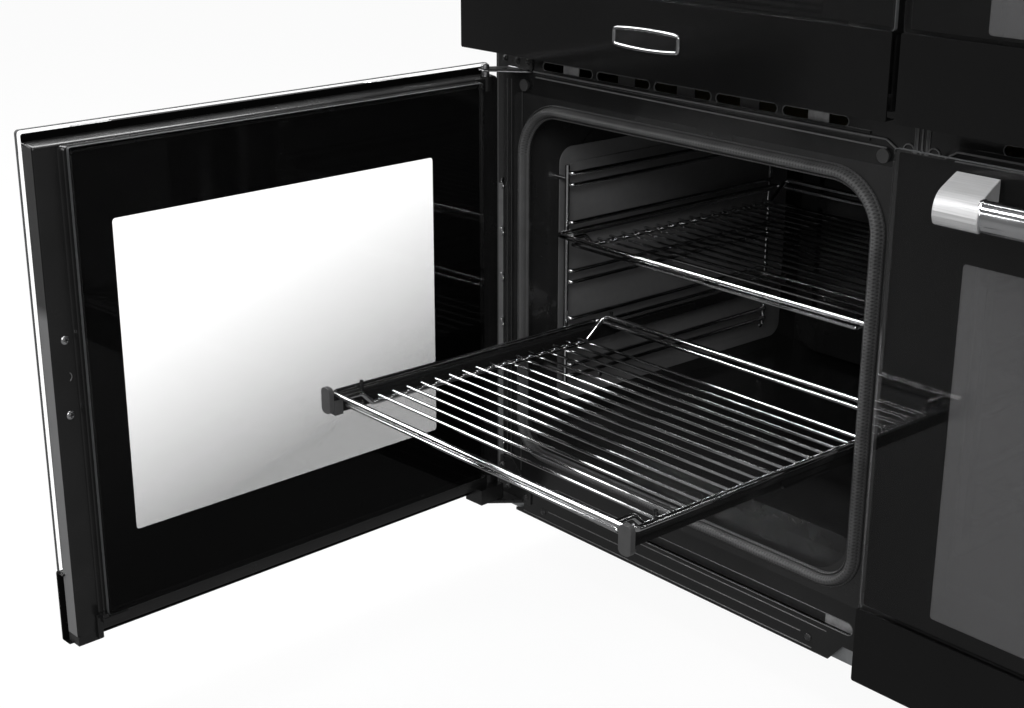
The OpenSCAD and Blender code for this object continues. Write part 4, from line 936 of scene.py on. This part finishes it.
def trimPieces(column, s):
    name = "left_" if column == 0 else "right_"
    base = {"column": column, "slot": "front_enamel"}
    y = s["face"]
    # ridges, folds and the hook in the lighter grey: painted highlights on the black enamel
    lines = [tube(atFace(roundCorners(s["upper"], 6.0, 8), y - 1.2), 0.8, 10),
             tube(atFace(s["lower"], y - 1.2), 0.75, 10), tube(atFace(s["third"], y - 0.5), 0.5, 8)]
    lines += [tube([(u, y - 0.3, s["foldZ"][0]), (u, y - 0.3, s["foldZ"][1])], 0.55, 8) for u in s["folds"]]
    t = np.linspace(0, math.pi, 16)
    u, z, r = s["hook"]
    lines.append(tube(atFace(np.stack([u - r * np.cos(t), z + r * np.sin(t)], 1), y - 0.8), 0.6, 8))
    addPiece(name + "frame_ridges", merged(lines), "fold_edge", "carcass", base)
    # rims of the vents and of the long slot in the lighter grey: painted highlights
    rims = [tube(atFace(slotLoop(u, s["ventZ"], *s["vent"], -0.3), y - 0.1), 0.45, 8, True)
            for u in s["ventU"]]
    u, z, length, height = s["longSlot"]
    rims.append(tube(atFace(slotLoop(u, z, length, height, -0.3), y - 0.1), 0.4, 8, True))
    addPiece(name + "vent_rims", merged(rims), "fold_edge", "carcass", base)
    # folded duct behind the vents: bright zinc on the outer ducts where lamps reach them as painted light,
    # and the dark sheet on the middle ones as painted shade; and a steel tray behind the long slot
    duct = [moved(box(*s["duct"]), (u, y, s["ventZ"])) for u in s["ventU"]]
    addPiece(name + "vent_duct", merged([duct[i] for i in s["bright"]]), "zinc_painted_lit", "carcass", base)
    addPiece(name + "vent_duct_middle", merged(duct[1:4]), "steel_sheet", "carcass", base)
    # the tray in a dim grey and its end in the bright zinc: painted shade and painted light
    near, far = (u - length / 2, y, z), (u + length / 2, y, z)
    tray = box(np.add(near, s["tray"][0]), np.add(far, s["tray"][1]))
    addPiece(name + "slot_tray", tray, "fold_dim", "carcass", base)
    addPiece(name + "slot_tray_end", moved(box(*s["trayEnd"]), far), "zinc_painted_lit", "carcass", base)
    # folds of the rail in the lighter grey: painted highlights
    rail = [tube(atFace(line, y - 0.1), 0.5, 8) for line in s["rail"]]
    addPiece(name + "rail_folds", merged(rail), "fold_edge", "carcass", base)
    heads = [panHead((a, y, b), (0, -1, 0), 3.4, 1.8) for a, b in s["screws"]]
    addPiece(name + "rail_screws", merged(heads), "black_screw", "carcass", base)
    # lit fold of the stile, a painted highlight in the lighter grey, with lanced curls as bright steel rings
    # that are painted highlights
    strip = moved(box(*s["stile"]), (0, y, 0))
    addPiece(name + "stile_fold", strip, "fold_edge", "carcass", {**base, "bevel": 0.15})
    # the side skin's edge and the stile's folds in a dimmer lit grey: painted light
    skin = moved(box(*s["skin"]), (0, y, 0))
    folds = [tube([(u, y - 0.1, z) for z in s["stileZ"]], 0.5, 8) for u in s["stileFolds"]]
    addPiece(name + "stile_edges", merged([skin, *folds]), "fold_dim", "carcass", base)
    t = np.linspace(0, 2 * math.pi, 22)
    curl = np.stack([2.2 * np.sin(t), -0.9 - 0.6 * np.cos(t / 2), 5.0 * (t / math.pi - 1.0)], 1)
    curls = [tube(curl + (s["curlU"], y, z), 0.7, 8) for z in s["curls"]]
    addPiece(name + "stile_curls", merged(curls), "steel_and_painted_glint", "carcass", base)


for column in (0, 1):
    trimPieces(column, trim)
print("front trims made")

# grey self-cleaning linings on the cavity side walls, with their fixing pins
lining = {"walls": (41.25, 464.75), "thick": 0.9, "y": (90.0, 440.0), "z": (165.0, 432.5), "radius": 16.0,
          "pins": ((150.0, 183.0), (405.0, 183.0), (405.0, 421.0)),
          "step": {"y": (100.5, 430.0), "z": (176.0, 416.5), "radius": 9.0}}
for column in (0, 1):
    s, parts, pins = lining, [], []
    for wall, inward in ((s["walls"][0], 1), (s["walls"][1], -1)):
        face = wall + inward * (s["thick"] + 1.1)
        flat = rectangle((s["y"][0], s["z"][0]), (s["y"][1], s["z"][1]), s["radius"], 10)
        parts.append(prism(flat, 0, *sorted((wall, wall + inward * s["thick"]))))
        (y0, y1), (z0, z1) = s["step"]["y"], s["step"]["z"]
        raised = rectangle((y0, z0), (y1, z1), s["step"]["radius"], 8)
        parts.append(prism(raised, 0, *sorted((wall, wall + inward * (s["thick"] + 1.1)))))
        pins += [panHead((face, y, z), (inward, 0, 0), 3.0, 1.5) for y, z in s["pins"]]
    side = "left_" if column == 0 else "right_"
    base = {"column": column, "slot": "enamel"}
    addPiece(side + "wall_linings", merged(parts), "catalytic", "carcass", {**base, "bevel": 0.3})
    addPiece(side + "lining_pins", merged(pins), "steel_and_painted_glint", "carcass", base)
print("linings made")

# thin printed rings on the hob glass round each zone, x and y from the hob's front middle
zones = {"rings": ((-350, 165, 145), (-350, 430, 180), (0, 300, 210), (350, 165, 180), (350, 430, 145)),
         "line": 0.5}
hobMiddle, hobTop = (leftSide + rightSide) / 2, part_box("hob_glass")[1].z / mm
t = np.linspace(0, 2 * math.pi, 96, endpoint=False)
rings = [tube(np.stack([hobMiddle + x + d / 2 * np.cos(t), doorFace + y + d / 2 * np.sin(t),
                        np.full(96, hobTop)], 1), zones["line"], 6, True, (0, 0, 1))
         for x, y, d in zones["rings"]]
addPiece("hob_zone_rings", merged(rings), "print_grey", "carcass", {"slot": "hob_glass"})
print("hob rings made")

# blank plate at the badge's place: a barrel-shaped chromed rim round a dark ground
badge = {"u": (205.3, 283.4), "z": (558.0, 578.3), "bow": 1.6, "rim": 3.4, "corner": 4.0, "face": 0.0}


def badgeLoop(s, inset):
    # the top and bottom bow outward by a parabola that is zero at the ends
    u0, u1 = s["u"][0] + inset, s["u"][1] - inset
    z0, z1 = s["z"][0] + s["bow"] + inset, s["z"][1] - s["bow"] - inset
    t = np.linspace(-0.86, 0.86, 13)
    bulge = s["bow"] * (1 - t * t)
    across = (u0 + u1) / 2 + t * (u1 - u0) / 2
    bottom = np.stack([across, z0 - bulge], 1)
    upper = np.stack([across[::-1], z1 + bulge[::-1]], 1)
    ends = [rectangle((u0, z0), (u1, z1), max(s["corner"] - inset, 0.8), 5)]
    corners = ends[0].reshape(4, 5, 2)
    return np.concatenate([corners[0], bottom, corners[1], corners[2], upper, corners[3]])


profile = ((0.0, 0.0), (0.2, 1.1), (0.9, 1.6), (2.4, 1.6), (3.1, 1.2), (3.4, 0.5))
loops = [np.insert(badgeLoop(badge, d), 1, badge["face"] - h, axis=1) for d, h in profile]
rim = (np.concatenate(loops), [grid(len(loops), len(loops[0]), False, True)])
addPiece("badge_rim", rim, "chrome_wire", "grill_door_left", {"column": 0, "smooth": 50})
addPiece("badge_ground", prism(badgeLoop(badge, 3.2), 1, -0.6, 0.0), "badge_ground", "grill_door_left",
         {"column": 0})
print("badge made")

# stage: pale floor and background, soft lamps over and beside the camera
backdrop = {"camera": 1.0, "through": 1.22, "glossy": 0.165, "diffuse": 0.42, "floorMix": 0.94}


def rayBlend(tree, s):
    # brightness by ray: straight looks, also through glass, see white; reflections see a dark studio
    rays = addNode(tree, "ShaderNodeLightPath").outputs
    straight = maths(tree, "MAXIMUM", rays["Is Camera Ray"], rays["Is Transmission Ray"])
    bounced = maths(tree, "ADD", rays["Glossy Depth"], rays["Diffuse Depth"])
    seen = maths(tree, "SUBTRACT", straight, bounced, clamp=True)
    back = maths(tree, "MULTIPLY", rays["Is Transmission Ray"], rays["Glossy Depth"])
    glossy = maths(tree, "MAXIMUM", rays["Is Glossy Ray"], back)
    mirror = maths(tree, "SUBTRACT", glossy, seen, clamp=True)
    dim = rangeOf(tree, mirror, s["diffuse"], s["glossy"])
    white = rangeOf(tree, rays["Is Transmission Ray"], s["camera"], s["through"])
    return rangeOf(tree, seen, dim, white)


world = bpy.data.worlds.new("studio")
bpy.context.scene.world = world
world.use_nodes = True
world.node_tree.nodes["Background"].inputs["Color"].default_value = (1.0, 1.0, 1.0, 1.0)
world.node_tree.links.new(rayBlend(world.node_tree, backdrop),
                          world.node_tree.nodes["Background"].inputs["Strength"])

floorMaterial, tree, shader = newMaterial("floor")
marks = addNode(tree, "ShaderNodeGroup", {"node_tree": mottle}, Scale=2.0, Contrast=0.6)
tree.links.new(blendOf(tree, marks.outputs["Mask"], (0.8, 0.8, 0.8), (0.86, 0.86, 0.86)),
               shader.inputs["Base Color"])
shader.inputs["Roughness"].default_value = 0.9
shader.inputs["Specular IOR Level"].default_value = 0.0
glow = addNode(tree, "ShaderNodeEmission", Strength=rayBlend(tree, backdrop))
mix = addNode(tree, "ShaderNodeMixShader", i0=backdrop["floorMix"], i1=shader.outputs[0],
              i2=glow.outputs[0])
tree.links.new(mix.outputs[0], tree.nodes["Material Output"].inputs[0])
floorMesh = bpy.data.meshes.new("floor")
floorMesh.from_pydata([(-9, -9, 0), (9, -9, 0), (9, 9, 0), (-9, 9, 0)], [], [(0, 1, 2, 3)])
floor = bpy.data.objects.new("floor", floorMesh)
floorMesh.materials.append(floorMaterial)
bpy.context.scene.collection.objects.link(floor)
floor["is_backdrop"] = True

lamps = {
    "line": {"place": (-1.8, -0.62, 1.75), "aim": (-1.8, -0.3, 0.2), "size": (3.4, 0.26), "power": 36.0,
             "diffuse": 0.2},
    # lights only what mirrors it: the wires, straight and through the open door's panes
    "panel": {"place": (-2.5, -1.7, 1.6), "aim": (-0.2, -0.6, 0.2), "size": (1.7, 1.5), "power": 64.0,
              "diffuse": 0.0, "only": ("_wires", "left_door_outer_pane", "left_door_inner_pane")},
    "over": {"place": (-1.2, 0.1, 2.1), "aim": (-0.1, -0.3, 0.3), "size": (1.3, 0.5), "power": 26.0},
    "key": {"place": (1.9, -2.3, 2.0), "aim": (0.1, 0.0, 0.4), "size": (1.5, 1.0), "power": 48.0},
    "fill": {"place": (-2.1, -2.2, 1.7), "aim": (0.0, 0.0, 0.4), "size": (1.2, 1.2), "power": 22.0},
}
for name, s in lamps.items():
    data = bpy.data.lights.new(name, "AREA")
    data.shape = "RECTANGLE"
    data.size, data.size_y = s["size"]
    data.energy = s["power"]
    data.diffuse_factor = s.get("diffuse", 1.0)
    lamp = bpy.data.objects.new(name, data)
    lamp.location = s["place"]
    aim = Vector(s["aim"]) - Vector(s["place"])
    lamp.rotation_euler = aim.to_track_quat("-Z", "Y").to_euler()
    bpy.context.scene.collection.objects.link(lamp)
    if "only" in s:
        chosen = bpy.data.collections.new(name + "_receivers")
        for piece in [p for p in bpy.data.objects if p.name.endswith(s["only"])]:
            chosen.objects.link(piece)
        lamp.light_linking.receiver_collection = chosen
print("stage set")

low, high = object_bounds()
